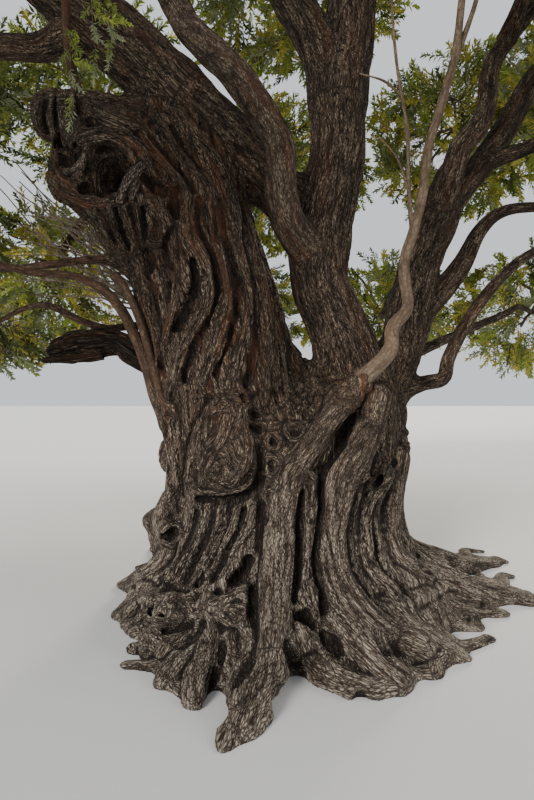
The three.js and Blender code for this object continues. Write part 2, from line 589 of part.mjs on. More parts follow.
// One blade that stands for a spray of leaves: eight faces, its root sunk in the twig.
function blade(root, heading, roll) {
  const { length, width, thick, widest } = SPRAY;
  const geometry = new THREE.OctahedronGeometry(1);
  const position = geometry.getAttribute("position");
  for (let i = 0; i < position.count; i++) {
    const y = position.getY(i);
    position.setY(i, y * (y < 0 ? widest : 1 - widest) + widest);
  }
  geometry.scale(width / 2, length, thick / 2);
  const turned = new THREE.Quaternion().setFromUnitVectors(new THREE.Vector3(0, 1, 0), heading);
  geometry.rotateY(roll);
  geometry.applyQuaternion(turned);
  geometry.translate(root.x, root.y, root.z);
  return geometry;
}

// Where a spray leaves its twig, which way it faces, and points on its outline that need room.
function sprayOn(twig, stop, lean, roll) {
  const ahead = twig.along(stop);
  const aside = new THREE.Vector3(Math.cos(roll), Math.sin(roll), 0.25).cross(ahead).normalize();
  const facing = ahead.clone().multiplyScalar(Math.cos(lean));
  facing.addScaledVector(aside, Math.sin(lean)).normalize();
  const root = twig.at(stop);
  const edge = new THREE.Vector3().crossVectors(facing, aside.cross(ahead)).normalize();
  const middle = [0.4, 0.7, 1].map((part) => root.clone().addScaledVector(facing, SPRAY.length * part));
  const sides = [-1, 1].map((side) => middle[0].clone().addScaledVector(edge, (side * SPRAY.width) / 2));
  return { root, facing, roll, outline: [...middle, ...sides] };
}

// The line of one twig, or nothing where its end has no room in the mass's space.
function twigLine(stem, from, out, mass, random) {
  const middle = metres(...mass.at);
  const reach = metres(...mass.reach);
  const start = stem.at(from);
  const lift = new THREE.Vector3(0, 0, 0.3 + 0.4 * random());
  const heading = stem.along(from).multiplyScalar(0.6).add(lift).normalize();
  for (let share = TWIG.reach - TWIG.vary * random(); share > TWIG.least; share -= TWIG.step) {
    const end = out.clone().multiply(reach).multiplyScalar(share).add(middle);
    if (inSpace(end, mass)) return bentLine(start, heading, end, ...TWIG.radius);
  }
  return null;
}

// The blades along one twig, without those that find no room.
function spraysOn(twig, mass, firstRoll) {
  return TWIG.stops.flatMap((stop, i) => {
    const lean = i === TWIG.stops.length - 1 ? SPRAY.tipLean : SPRAY.lean;
    const roll = firstRoll + i * SPRAY_TURN;
    const rolls = Array.from({ length: SPRAY.tries }, (_, k) => roll + k * SPRAY_RETRY_TURN);
    const choices = rolls.map((roll) => sprayOn(twig, stop, lean, roll));
    const fitting = choices.find(({ outline }) => outline.every((point) => inSpace(point, mass)));
    return fitting ? [solid(blade(fitting.root, fitting.facing, fitting.roll))] : [];
  });
}

// One mass: a stem from the bough's tip, twigs bent out to the rim, and blades in turn along each twig.
function massSolid(name, index) {
  const mass = MASSES[name];
  const random = seeded(SEED + index);
  const carrier = Object.keys(BOUGHS).find((bough) => BOUGHS[bough].into === name);
  const bough = lines[carrier];
  const top = metres(mass.at[0], mass.at[1], mass.at[2] + mass.reach[2] * STEM_RISE);
  const tipRadius = bough.radius(bough.last) * STEM_SHARE;
  const stem = bentLine(bough.at(bough.last), bough.along(bough.last), top, tipRadius, TWIG.radius[0]);
  const parts = [tube(stem, { sides: TWIG.sides, steps: TWIG.steps, lead: CLEAR })];
  const turn = random() * Math.PI * 2;
  for (let n = 0; n < mass.twigs; n++) {
    const from = TWIG.from + (1 - TWIG.from) * ((n + 0.5) / mass.twigs);
    const firstRoll = random() * Math.PI * 2;
    const twig = twigLine(stem, from, spread(n, mass.twigs, turn), mass, random);
    if (!twig) continue;
    parts.push(tube(twig, { sides: TWIG.sides, steps: TWIG.steps }));
    parts.push(...spraysOn(twig, mass, firstRoll));
  }
  return largest(joined(parts[0], parts.slice(1)));
}

function namedMesh(name, shape, material) {
  const geometry = surfaceOf(shape);
  geometry.computeVertexNormals();
  const mesh = new THREE.Mesh(geometry, material);
  mesh.name = name;
  return mesh;
}

const tree = new THREE.Group();
tree.name = "olive_tree";
tree.add(namedMesh("trunk", trunkSolid(), BARK));
tree.add(namedMesh("stub_left", tube(stubLines[1], { t0: DEAD_STUB_START, lead: CLEAR }), DEAD_WOOD));
Object.keys(BOUGHS).forEach((name) => tree.add(namedMesh(name, boughSolid(name), BOUGHS[name].bark ?? BARK)));
Object.keys(MASSES).forEach((name, index) => tree.add(namedMesh(name, massSolid(name, index), LEAF)));

export default tree;
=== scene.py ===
"""Dresses an ancient olive: barked trunk and boughs, and a crown of twigs and leaf sprays, on a pale floor.

The limbs and the crown follow the same named sizes and the same seeded rule as the part's solids. The trunk
is one body worked out as a field of distances, the boughs are swept tubes, and both carry bark relief along
their grain. Everything is in metres, +Z up, with the ground at z = 0, unless a comment says centimetres.
"""

import logging
import math
from collections.abc import Iterable
from concurrent.futures import ThreadPoolExecutor
from dataclasses import dataclass
from enum import Enum

import bmesh
import bpy
import numpy as np
import openvdb
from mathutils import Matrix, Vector

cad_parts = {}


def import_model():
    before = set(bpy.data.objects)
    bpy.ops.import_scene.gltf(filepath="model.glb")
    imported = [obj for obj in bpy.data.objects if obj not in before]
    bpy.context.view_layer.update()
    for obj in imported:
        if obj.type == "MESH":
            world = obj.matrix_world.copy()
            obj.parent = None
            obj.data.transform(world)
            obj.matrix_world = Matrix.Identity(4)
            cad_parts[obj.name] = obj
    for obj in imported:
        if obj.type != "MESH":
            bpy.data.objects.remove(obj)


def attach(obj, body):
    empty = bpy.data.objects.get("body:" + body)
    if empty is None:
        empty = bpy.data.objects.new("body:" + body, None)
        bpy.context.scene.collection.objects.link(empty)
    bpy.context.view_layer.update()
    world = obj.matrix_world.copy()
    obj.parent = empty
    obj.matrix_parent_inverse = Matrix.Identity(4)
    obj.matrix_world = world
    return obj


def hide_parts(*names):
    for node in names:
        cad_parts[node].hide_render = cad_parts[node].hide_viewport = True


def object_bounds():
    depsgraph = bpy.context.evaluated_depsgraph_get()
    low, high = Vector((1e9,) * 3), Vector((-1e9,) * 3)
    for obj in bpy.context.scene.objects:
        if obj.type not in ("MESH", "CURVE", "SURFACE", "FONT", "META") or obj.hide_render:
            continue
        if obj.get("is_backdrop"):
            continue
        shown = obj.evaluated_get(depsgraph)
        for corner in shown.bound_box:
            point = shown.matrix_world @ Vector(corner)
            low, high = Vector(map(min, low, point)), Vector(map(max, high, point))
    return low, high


LOG = logging.getLogger("olive")
Stations = tuple[tuple[float, float, float, float], ...]
Rows = tuple[tuple[float, ...], ...]

SEED = 1907
GOLDEN_ANGLE = math.pi * (3 - math.sqrt(5))
BOUGH_ARCH = 0.06
RIM = 0.66
STEM_RISE = 0.08
STEM_SHARE = 0.92
FOOT_RADIUS = 0.68
ROOT_TIP = 0.62
ROOT_SHARES = (0, 0.33, 0.66, 1)
ROOT_FALL = 1.6
ROOT_SUNK = (0.1, 1.05)
# A root's thin end. It winds by some degrees and so many times. It starts at a share of the root's reach and
# runs on by a length and a share. Its girth is a length and a share of the root's, less another share at the
# finish, and it is sunk by a share of its girth, and by another more at the finish.
END_WIND = (3.5, 7)
END_FROM = 0.8
END_RUN = (0.06, 0.13)
END_GIRTH = (0.035, 0.42, 0.2)
END_SUNK = (0.2, 0.35)
# How far past its melt a shape may still touch the wood.
SHAPE_ROOM = 0.1

# A stem is a row of stations, each x, y, z and radius.
STEMS: dict[str, Stations] = {
    "left": (
        (-0.4, 0, -0.3, 0.76), (-0.43, -0.03, 0.5, 0.66), (-0.45, -0.05, 1.15, 0.59),
        (-0.53, -0.08, 1.86, 0.62), (-0.67, -0.1, 2.47, 0.61), (-0.8, -0.13, 2.94, 0.57),
        (-0.92, -0.14, 3.39, 0.52), (-1.02, -0.12, 3.78, 0.43), (-1.08, -0.1, 4.05, 0.28),
    ),
    "centre": (
        (0.5, 0.05, -0.3, 0.62), (0.52, 0.05, 0.5, 0.53), (0.57, 0.05, 1.1, 0.47), (0.6, 0, 1.6, 0.4),
        (0.585, -0.02, 1.87, 0.31), (0.46, -0.06, 2.25, 0.265), (0.3, -0.1, 2.62, 0.25),
        (0.3, -0.1, 2.95, 0.245), (0.38, -0.1, 3.35, 0.243), (0.46, -0.1, 3.8, 0.24),
        (0.465, -0.1, 4.3, 0.235),
    ),
    "right": (
        (0.62, 0.2, -0.3, 0.5), (0.68, 0.22, 0.9, 0.38), (0.9, 0.3, 1.68, 0.29), (1.13, 0.3, 2.13, 0.21),
        (1.21, 0.3, 2.56, 0.19), (1.36, 0.35, 3.04, 0.19), (1.5, 0.4, 3.34, 0.185),
    ),
    "back": ((0.05, 0.3, -0.3, 0.75), (0.05, 0.32, 0.6, 0.6), (0, 0.3, 1.3, 0.52), (-0.1, 0.18, 1.8, 0.35)),
    "front": (
        (0.1, -0.28, -0.3, 0.72), (0.12, -0.32, 0.5, 0.56), (0.16, -0.34, 1.1, 0.45), (0.2, -0.2, 1.45, 0.32),
        (0.24, -0.05, 1.72, 0.16),
    ),
    "foot": (
        (0.02, -0.1, -0.3, 1.62), (0.02, -0.1, 0.02, 1.34), (0.02, -0.06, 0.26, 1.08), (0.02, 0, 0.55, 0.92),
        (0.02, 0.05, 0.95, 0.76),
    ),
    "bridge": (
        (0.36, -0.04, 2.95, 0.17), (0.1, -0.04, 3.28, 0.21), (-0.18, -0.05, 3.56, 0.23),
        (-0.54, -0.1, 3.9, 0.26), (-0.95, -0.2, 4.2, 0.28),
    ),
}

# Ribs on the front of the trunk: x, z, radius, and how far the middle is sunk.
RIBS: dict[str, Stations] = {
    "knuckle": (
        (0.4, 1.58, 0.13, 0.04), (0.28, 1.42, 0.13, 0.03), (0.15, 1.24, 0.14, 0.03), (0.02, 1.05, 0.13, 0.05),
    ),
    "left_leg": (
        (0, 1.12, 0.14, 0.04), (-0.04, 0.8, 0.12, 0.05), (-0.09, 0.45, 0.15, 0.02), (-0.12, 0.1, 0.17, -0.1),
    ),
    "middle_leg": ((0.14, 1.0, 0.08, 0.03), (0.14, 0.6, 0.09, 0.02), (0.12, 0.2, 0.11, -0.05)),
    "shoulder": (
        (0.62, 1.58, 0.17, 0.02), (0.56, 1.3, 0.18, 0.02), (0.44, 1.02, 0.15, 0.01), (0.36, 0.75, 0.14, 0.01),
        (0.33, 0.4, 0.16, -0.04), (0.42, 0.05, 0.17, -0.18),
    ),
    "right_leg": (
        (0.78, 1.0, 0.11, 0.02), (0.58, 0.7, 0.1, 0.02), (0.6, 0.35, 0.11, -0.02), (0.72, 0.02, 0.11, -0.1),
    ),
    "side_leg": (
        (0.96, 1.1, 0.11, 0.03), (0.86, 0.7, 0.11, 0.03), (0.9, 0.3, 0.11, 0), (1.02, 0, 0.1, -0.02),
    ),
    "pale_ridge": (
        (-0.62, 1.55, 0.07, 0.02), (-0.68, 1.1, 0.08, 0.02), (-0.72, 0.6, 0.09, 0), (-0.8, 0.05, 0.1, -0.14),
    ),
}

# Burls: x, y, z of the middle, then half width, half depth and half height. The first is ringed.
BURLS: Rows = (
    (-0.46, -0.62, 1.16, 0.29, 0.22, 0.27),
    (-0.5, -0.56, 1.46, 0.2, 0.17, 0.26),
    (-0.9, -0.3, 0.52, 0.24, 0.28, 0.3),
    (-1.46, -0.36, 3.48, 0.45, 0.4, 0.43),
    (-1.2, -0.3, 3.12, 0.4, 0.38, 0.4),
    (0.88, 0.1, 1.32, 0.2, 0.24, 0.26),
    (0.5, 0.72, 0.9, 0.28, 0.2, 0.34),
)
# Small knots and swellings that only the bark shows, laid out as the burls are.
KNOTS: Rows = (
    (-0.92, -0.44, 2.75, 0.2, 0.18, 0.26), (-1.72, -0.52, 3.28, 0.16, 0.14, 0.15),
    (-1.3, -0.66, 3.72, 0.14, 0.12, 0.1), (0.3, 0.85, 1.35, 0.18, 0.16, 0.16),
    (0.2, 0.95, 0.5, 0.2, 0.2, 0.25), (-0.75, 0.4, 1.6, 0.22, 0.22, 0.35),
    (-0.4, 0.75, 0.8, 0.2, 0.18, 0.26), (-1.0, 0.1, 1.1, 0.14, 0.2, 0.2),
    (-1.08, -0.38, 0.62, 0.1, 0.12, 0.08), (1.02, 0.05, 1.5, 0.08, 0.12, 0.12),
    (-1.78, -0.42, 3.66, 0.1, 0.14, 0.14),
)
# Holes: a mouth and a smaller one high on the left, then two at the back, laid out as the burls are.
HOLLOWS: Rows = (
    (-1.36, -0.74, 3.34, 0.13, 0.36, 0.16), (-1.74, -0.5, 3.62, 0.1, 0.16, 0.08),
    (0.2, 0.98, 0.95, 0.04, 0.16, 0.2), (-0.5, 0.72, 1.3, 0.04, 0.16, 0.25),
)


@dataclass(frozen=True)
class View:
    """An enlarged view of the photograph in which marks were set: its left, its top and its scales."""

    left: float
    top: float
    wider: float
    taller: float

    def place(self, right: float, down: float) -> tuple[int, int]:
        """Returns the x and the z, in whole centimetres, at which a mark's line of sight crosses y = 0."""
        across = (self.left + right / self.wider - MIDDLE[0]) / FOCAL * AWAY + EYE[0]
        up = EYE[2] - (self.top + down / self.taller - MIDDLE[1]) / FOCAL * AWAY
        return round(100 * across), round(100 * up)

    def row(self, numbers: tuple[float, ...]) -> tuple[float, ...]:
        """Returns a row with the marks that follow its first four numbers turned into places."""
        marks = zip(numbers[4::2], numbers[5::2])
        return (*numbers[:4], *(number for mark in marks for number in self.place(*mark)))

    def patch(self, numbers: tuple[float, ...]) -> tuple[float, ...]:
        """Returns a row with the mark that it starts with turned into a place."""
        return (*self.place(*numbers[:2]), *numbers[2:])


# The camera: where it stands, how far that is in front of y = 0, and its focal length and the middle of its
# picture in the photograph's pixels.
EYE = (-0.16, -4.3, 1.6)
AWAY = 4.3
FOCAL = 480
MIDDLE = (267, 400)
LOWER = View(120, 360, 3.919, 3.92)
UPPER = View(20, 60, 4.611, 4.611)
FOOT = View(100, 350, 4.238, 4.238)
SeenRows = tuple[tuple[View, Rows], ...]


def placed(groups: SeenRows) -> Rows:
    """Returns all the rows of marks in their places."""
    return tuple(view.row(numbers) for view, rows in groups for numbers in rows)


# Forms on the front, set where they are seen from the eye. A row holds the radius at the start, the middle
# and the end and how deep the middle line lies behind the wood, in centimetres. Pairs of marks follow: how
# far right and how far down each lies in the view.
RIDGES: SeenRows = (
    (LOWER, (
        (
            9, 11, 10.5, 5, 870, 180, 800, 270, 745, 345, 700, 405, 668, 450, 645, 520, 637, 620, 628, 740,
            615, 850, 602, 940, 597, 1040, 590, 1120,
        ),
        (
            13, 11, 11, 6, 1000, 150, 975, 260, 925, 365, 880, 440, 862, 500, 852, 590, 845, 700, 850, 820,
            880, 920, 950, 1010, 1050, 1080, 1160, 1130,
        ),
        (5.5, 5.5, 6, 2.5, 745, 490, 745, 620, 738, 760, 735, 900, 760, 1000),
        (6, 7, 7, 3, 1040, 470, 975, 540, 950, 640, 960, 760, 1000, 850, 1060, 910),
        (8, 8.5, 9, 4, 1075, 500, 1055, 640, 1065, 740, 1115, 800, 1185, 840),
        (8, 9, 8, 4, 200, 540, 165, 640, 200, 740, 140, 820, 60, 870),
        (4, 4.5, 4, 1, 632, 445, 690, 428, 748, 468),
        (3.5, 4, 3.5, 1, 815, 470, 860, 478, 908, 488),
        (
            5, 5, 7, 3, 400, 180, 330, 230, 300, 330, 280, 420, 275, 490, 300, 570, 290, 680, 240, 800,
            190, 900,
        ),
        (5, 5.5, 6.5, 3, 400, 545, 385, 640, 330, 770, 280, 880, 230, 960),
        (4.5, 5, 6, 2.5, 470, 550, 450, 640, 400, 740, 340, 850),
        (4.5, 5, 6, 3, 350, 570, 320, 680, 250, 800, 180, 860),
        (4.5, 5, 5, 2.5, 530, 600, 490, 690, 430, 760, 390, 850),
        (5, 6, 4.5, 3.5, 300, 490, 350, 515, 420, 515, 490, 500, 530, 455, 540, 380, 510, 300),
        (4.5, 5, 5, 1, 380, 950, 440, 920, 500, 900),
        (5, 5.5, 4.5, 3, 420, 240, 400, 320, 350, 400, 330, 470),
        (4, 4.5, 5, 2.5, 440, 60, 480, 160, 470, 240, 440, 300),
        (4, 5, 4, 2.5, 350, 200, 335, 290, 325, 370, 335, 430),
        (4, 5, 4, 2.5, 480, 250, 502, 330, 490, 410, 450, 470),
    )),
    (UPPER, (
        (5, 5.5, 5.5, 3, 640, 650, 695, 800, 725, 1000, 700, 1200, 650, 1400),
        (5.5, 5.5, 6, 3, 780, 610, 765, 800, 845, 950, 865, 1100, 800, 1250, 735, 1400, 700, 1540),
        (5, 5.5, 5.5, 3, 880, 610, 890, 800, 930, 950, 955, 1100, 905, 1300, 845, 1480),
        (5, 5.5, 5.5, 3, 960, 560, 990, 700, 1010, 850, 1040, 1000, 1055, 1150, 1010, 1350, 970, 1500),
        (5, 5.5, 5.5, 3, 1035, 680, 1060, 820, 1095, 950, 1125, 1100, 1150, 1300, 1130, 1500),
        (6, 6, 6, 3.5, 560, 330, 620, 420, 700, 510, 760, 590),
        (6, 6, 6, 3.5, 650, 280, 710, 380, 785, 480, 850, 570),
        (5, 5.5, 5.5, 3.5, 740, 250, 800, 340, 870, 430, 930, 520),
        (4, 5, 6, 2, 260, 370, 330, 335, 420, 345, 500, 370, 560, 430, 590, 510, 600, 590),
        (3, 3.5, 3, 1, 250, 420, 320, 375, 410, 370, 480, 400, 520, 460, 530, 520),
        (2.5, 3, 2.5, 0.8, 280, 450, 340, 405, 410, 400, 465, 430, 490, 480),
        (5, 5.5, 5, 2, 150, 540, 230, 610, 320, 650, 420, 650, 520, 620),
        (4, 4.5, 4, 1.5, 150, 480, 190, 560, 260, 610, 340, 640, 430, 625),
        (4, 4.5, 4, 1.5, 560, 470, 620, 540, 640, 610, 600, 640),
        (3.5, 3.5, 3, 1.2, 300, 650, 350, 725, 415, 805),
        (3.5, 3.5, 3, 1.2, 340, 660, 400, 730, 425, 800),
        (3, 3.5, 3, 1.2, 420, 660, 430, 740, 490, 850),
        (3, 3.5, 3, 1, 470, 650, 515, 760, 560, 870),
        (3.5, 3.5, 3, 1.2, 520, 670, 540, 790, 520, 890),
        (3.5, 3.5, 3, 1.2, 565, 640, 600, 770, 590, 860),
        (3, 3.5, 3, 1.2, 600, 650, 650, 740, 660, 850),
        (3, 4, 3, 1, 555, 885, 605, 850, 655, 860),
        (5, 5.5, 6, 3, 530, 1000, 560, 1150, 590, 1300, 620, 1450),
        (7, 7, 6, 4, 330, 220, 400, 260, 480, 290, 560, 300),
        (4, 4.5, 4, 0.5, 308, 215, 326, 245),
    )),
)
# Crevices and holes in the front, laid out as the ridges are.
CREVICES: SeenRows = (
    (LOWER, (
        (3, 5.5, 3, 1.2, 905, 215, 885, 290, 862, 360, 812, 425),
        (2.5, 2.3, 2.5, 1.6, 805, 430, 788, 500, 788, 580, 775, 690, 765, 800, 790, 920, 800, 985),
        (2.2, 3, 2.2, 1.2, 712, 520, 705, 600, 700, 680, 700, 760, 690, 860, 680, 940),
        (
            3, 3.2, 3, 1, 555, 350, 548, 440, 535, 520, 560, 570, 545, 680, 535, 760, 522, 860, 520, 980,
            525, 1070, 500, 1170, 455, 1260,
        ),
        (2.5, 4.5, 3.5, 0.5, 310, 545, 380, 552, 460, 548, 520, 520, 556, 470),
        (2, 3.5, 2.5, 0.8, 1080, 400, 1010, 475, 950, 505, 925, 560, 908, 650, 905, 760, 935, 860, 975, 920),
        (2, 3.5, 2.5, 1, 1010, 560, 1000, 680, 1015, 780, 1060, 850, 1120, 905),
        (2.3, 2.5, 2.6, 1.2, 345, 150, 315, 200, 262, 330, 245, 440, 250, 520),
        (2.3, 2.5, 2.6, 1.4, 375, 560, 355, 660, 295, 790, 235, 900),
        (2.3, 2.5, 2.6, 1.4, 430, 560, 415, 660, 365, 770, 310, 880),
        (2.3, 2.5, 2.6, 1.4, 495, 580, 470, 660, 415, 760, 370, 860),
        (2.3, 2.5, 2.6, 1.4, 300, 600, 270, 700, 205, 810, 150, 870),
        (4, 8, 5, 4, 508, 785, 488, 835, 455, 880, 395, 905),
        (3, 6, 4, 9, 500, 800, 475, 850, 430, 890),
        (2.3, 4, 2.3, 0.8, 170, 690, 200, 685, 228, 665),
        (2.3, 3.5, 2.3, 0.8, 400, 1110, 402, 1145, 398, 1180),
        (2.3, 4, 3, 0.8, 325, 1035, 285, 1085, 240, 1125),
        (2.5, 3.2, 2.5, 1, 380, 1210, 368, 1290, 385, 1360),
    )),
    (FOOT, (
        (8, 10, 7, 1, 770, 1500, 860, 1475, 950, 1500, 1040, 1530),
        (5, 7, 5, 1, 1110, 1490, 1150, 1520, 1180, 1550),
        (4, 6, 5, 2, 800, 1270, 830, 1350, 850, 1440),
    )),
    (LOWER, (
        (3.5, 5.5, 6.5, 0.5, 665, 1125, 680, 1200, 700, 1290),
        (4, 9, 11, 1, 672, 1190, 690, 1290, 730, 1390),
        (4, 7, 6, 1, 380, 1290, 375, 1350, 390, 1410),
        (3, 5.5, 3, 1.5, 690, 1000, 722, 1012, 752, 1032),
        (2.5, 5, 3.5, 1, 800, 1080, 830, 1110, 852, 1138),
        (2, 3.4, 2, 0.8, 1010, 1112, 1035, 1135, 1060, 1142),
        (3, 3, 3, 0.5, 820, 1365, 850, 1385),
        (2.5, 4, 2.5, 1, 1170, 760, 1190, 800, 1215, 830),
        (2.2, 2.6, 2.2, 2, 562, 628, 574, 634),
        (2.2, 2.2, 2.2, 1.5, 520, 213, 532, 217),
        (2, 2.2, 2, 1, 515, 268, 545, 272),
        (2.4, 2.4, 2.4, 1.5, 680, 290, 700, 288),
        (2.2, 2.2, 2.2, 1.2, 480, 145, 490, 155),
        (1.6, 1.6, 1.6, 0.8, 600, 318, 604, 326),
        (1.8, 1.8, 1.8, 0.8, 592, 408, 598, 428),
        (2, 2, 2, 1, 930, 840, 965, 900),
        (2.2, 3, 2.2, 0.8, 150, 900, 200, 890, 260, 905),
        (2.2, 3, 2.2, 0.6, 120, 985, 170, 1000, 215, 1015),
        (2.2, 2.8, 2.2, 0.6, 180, 1062, 230, 1047, 280, 1037),
    )),
    (UPPER, (
        (3, 4, 3, 1.5, 800, 930, 803, 1020, 790, 1110, 748, 1190, 718, 1240),
        (3, 5, 3, 2, 705, 620, 712, 670, 715, 720),
        (4, 6, 4, 2, 585, 890, 592, 935, 588, 985),
        (2.2, 3, 2.2, 1, 905, 680, 915, 750, 912, 830),
        (2.2, 2.2, 2.2, 1, 688, 1040, 682, 1100),
        (2.2, 2.2, 2.2, 1.2, 690, 780, 665, 900, 700, 960),
        (2.2, 2.5, 2.2, 1.3, 825, 640, 820, 760, 880, 900, 905, 1050, 880, 1180, 800, 1330, 760, 1480),
        (2.2, 2.5, 2.2, 1.3, 925, 640, 945, 800, 985, 950, 1005, 1100, 965, 1280, 905, 1450),
        (2.2, 2.5, 2.2, 1.3, 1010, 640, 1035, 820, 1068, 960, 1090, 1120, 1080, 1320, 1040, 1500),
        (2.2, 2.5, 2.2, 1.3, 610, 1050, 640, 1200, 640, 1320, 660, 1450),
        (2.2, 2.5, 2.2, 1.3, 600, 350, 665, 430, 740, 520, 800, 600),
        (2.2, 2.5, 2.2, 1.3, 700, 300, 755, 400, 830, 490),
        (2, 2.5, 2, 1.2, 445, 690, 470, 780, 500, 870),
        (2, 2.5, 2, 1.2, 500, 680, 530, 780, 545, 860),
        (2, 2.5, 2, 1.2, 570, 680, 575, 780, 560, 850),
        (2, 2.5, 2, 1.2, 360, 700, 400, 760, 440, 830),
        (3, 6, 3, 2, 560, 540, 640, 590, 715, 600),
        (7, 12, 8, 7, 390, 440, 415, 530, 400, 605),
        (5, 8, 5, 6, 470, 470, 500, 540, 470, 610),
        (4, 7, 5, 4, 300, 480, 330, 560, 300, 600),
        (4, 8, 5, 5, 345, 495, 365, 560, 360, 605),
        (5, 7, 5, 4, 195, 455, 232, 455, 262, 430),
        (3, 4, 3, 2, 160, 385, 200, 395, 250, 385),
        (2.5, 3, 2.5, 1, 310, 270, 325, 300),
        (1.8, 2.4, 1.8, 1, 122, 190, 112, 260, 125, 330),
        (1.8, 2.2, 1.8, 1, 168, 180, 163, 260, 180, 340),
    )),
)
# Torn, weathered wood that stands in and by the hollows, laid out as the ridges are.
SPLINTERS: SeenRows = (
    (UPPER, (
        (2.5, 3, 2.5, 0.5, 185, 150, 190, 270, 205, 395),
        (2.5, 3, 2.5, 0.5, 212, 145, 225, 270, 235, 395),
        (2.5, 3, 2, 0.5, 240, 160, 250, 270, 255, 370),
        (2.5, 3.5, 2.5, 1, 95, 190, 85, 260, 105, 345),
        (2.5, 3, 2.5, 1, 150, 160, 140, 260, 155, 350),
        (3, 5.5, 3, -2.5, 560, 480, 505, 560, 455, 645),
        (2.5, 4, 2, -2, 520, 500, 530, 570, 510, 640),
        (2, 3, 2, -0.5, 300, 430, 280, 480, 215, 520),
    )),
)
# Twisted roots at the foot of the front, laid out as the ridges are.
TWISTED: SeenRows = (
    (LOWER, (
        (5, 7, 9, 2.5, 350, 930, 345, 1010, 352, 1090, 330, 1180, 305, 1270, 300, 1345),
        (5, 7, 5, 2.5, 330, 1090, 270, 1150, 205, 1215, 165, 1268),
        (4, 5, 6, 2, 450, 1060, 428, 1120, 445, 1190, 475, 1260, 455, 1340),
        (4, 4.5, 6, 3, 495, 1040, 528, 1110, 500, 1190, 460, 1270),
        (5, 6, 5, 1.5, 110, 1060, 140, 1010, 195, 975, 250, 985, 285, 1025, 330, 1020),
        (5, 6, 5, 2, 95, 1120, 150, 1085, 190, 1110, 235, 1085, 262, 1050),
        (6, 7, 6, 2.5, 50, 985, 95, 940, 160, 930, 215, 945, 270, 930),
        (4, 5, 4, 1, 395, 1000, 440, 1015, 500, 990),
        (4, 4.5, 4, 1, 205, 1000, 228, 1030, 200, 1058, 165, 1040, 178, 1000),
        (4.5, 5, 4.5, 1, 420, 960, 470, 935, 510, 950, 500, 985),
        (7.5, 8.5, 7, 4, 700, 1080, 735, 1170, 785, 1245, 860, 1300, 945, 1318),
        (9, 10, 8, 5, 830, 1000, 905, 1090, 985, 1170, 1075, 1240),
        (8, 8, 7, 5, 1040, 980, 1120, 1060, 1200, 1110),
        (5, 5, 5, 3, 650, 1100, 660, 1180, 650, 1260),
        (10, 12.5, 10, 6, 600, 1090, 590, 1190, 562, 1290, 525, 1380, 492, 1450),
        (6, 7, 6, 3, 300, 1130, 240, 1190, 190, 1240),
        (5, 6, 6, 3, 700, 1060, 800, 1150, 860, 1230, 960, 1290, 1040, 1280),
    )),
)
# Ringed knots on the front: a mark in the lower view, then half the width, half the height and the ring's own
# radius in centimetres.
EYES: Rows = (
    (603, 322, 5.9, 6.9, 1.6),
    (597, 415, 6.9, 9.6, 1.9),
    (525, 213, 7.8, 5.5, 1.8),
    (685, 280, 6.9, 7.8, 1.8),
    (600, 488, 5, 6.9, 1.5),
    (205, 688, 9.1, 8.2, 2.4),
    (150, 1045, 7.8, 5.9, 2),
    (455, 1000, 10.1, 5.9, 2.2),
)
# Crowds of warts: a mark in the lower view, how far they spread aside and up in centimetres, how many they
# are, and their radius in centimetres.
KNUCKLE: Rows = (
    (868, 150, 17.8, 11.9, 18, 3.4),
    (905, 120, 9.1, 6.9, 8, 3),
)
# The warts at the pale stem's foot: up to which station, how many, and their half size.
PALE_FOOT = (0.95, 30, 0.045)
# Plainer warts, laid out as those of the knuckle.
WARTS: Rows = (
    (1112, 300, 3.2, 13.7, 6, 3),
    (150, 1000, 24, 16, 22, 4.4),
    (450, 1010, 13.7, 11.4, 8, 3),
    (560, 500, 8.2, 13.7, 7, 2.4),
    (590, 240, 13.7, 13.7, 8, 2.2),
    (180, 600, 9.1, 13.7, 6, 3),
    (480, 120, 13.7, 11.4, 7, 2.6),
    (990, 460, 9.1, 6.9, 5, 2.6),
    (100, 1120, 20, 14, 16, 4.6),
    (330, 800, 13.7, 13.7, 6, 2.2),
)
# Roots: bearing at the foot and at the tip in degrees, reach, height and radius where it leaves the trunk.
ROOTS: Rows = (
    (-96, -100, 2.2, 0.62, 0.16), (-84, -76, 1.82, 0.4, 0.11), (-74, -70, 1.74, 0.5, 0.15),
    (-58, -51, 1.78, 0.5, 0.15), (-24, -8, 2.12, 0.5, 0.17), (2, 15, 2.32, 0.42, 0.15),
    (38, 42, 1.8, 0.5, 0.17), (66, 74, 2.05, 0.46, 0.16), (98, 92, 1.75, 0.52, 0.18),
    (122, 130, 2.1, 0.44, 0.16), (150, 148, 1.7, 0.5, 0.17), (182, 187, 1.5, 0.4, 0.15),
    (-152, -147, 1.5, 0.42, 0.15), (-130, -126, 1.42, 0.4, 0.14), (-120, -115, 1.8, 0.42, 0.12),
    (-108, -105, 1.86, 0.4, 0.11),
)

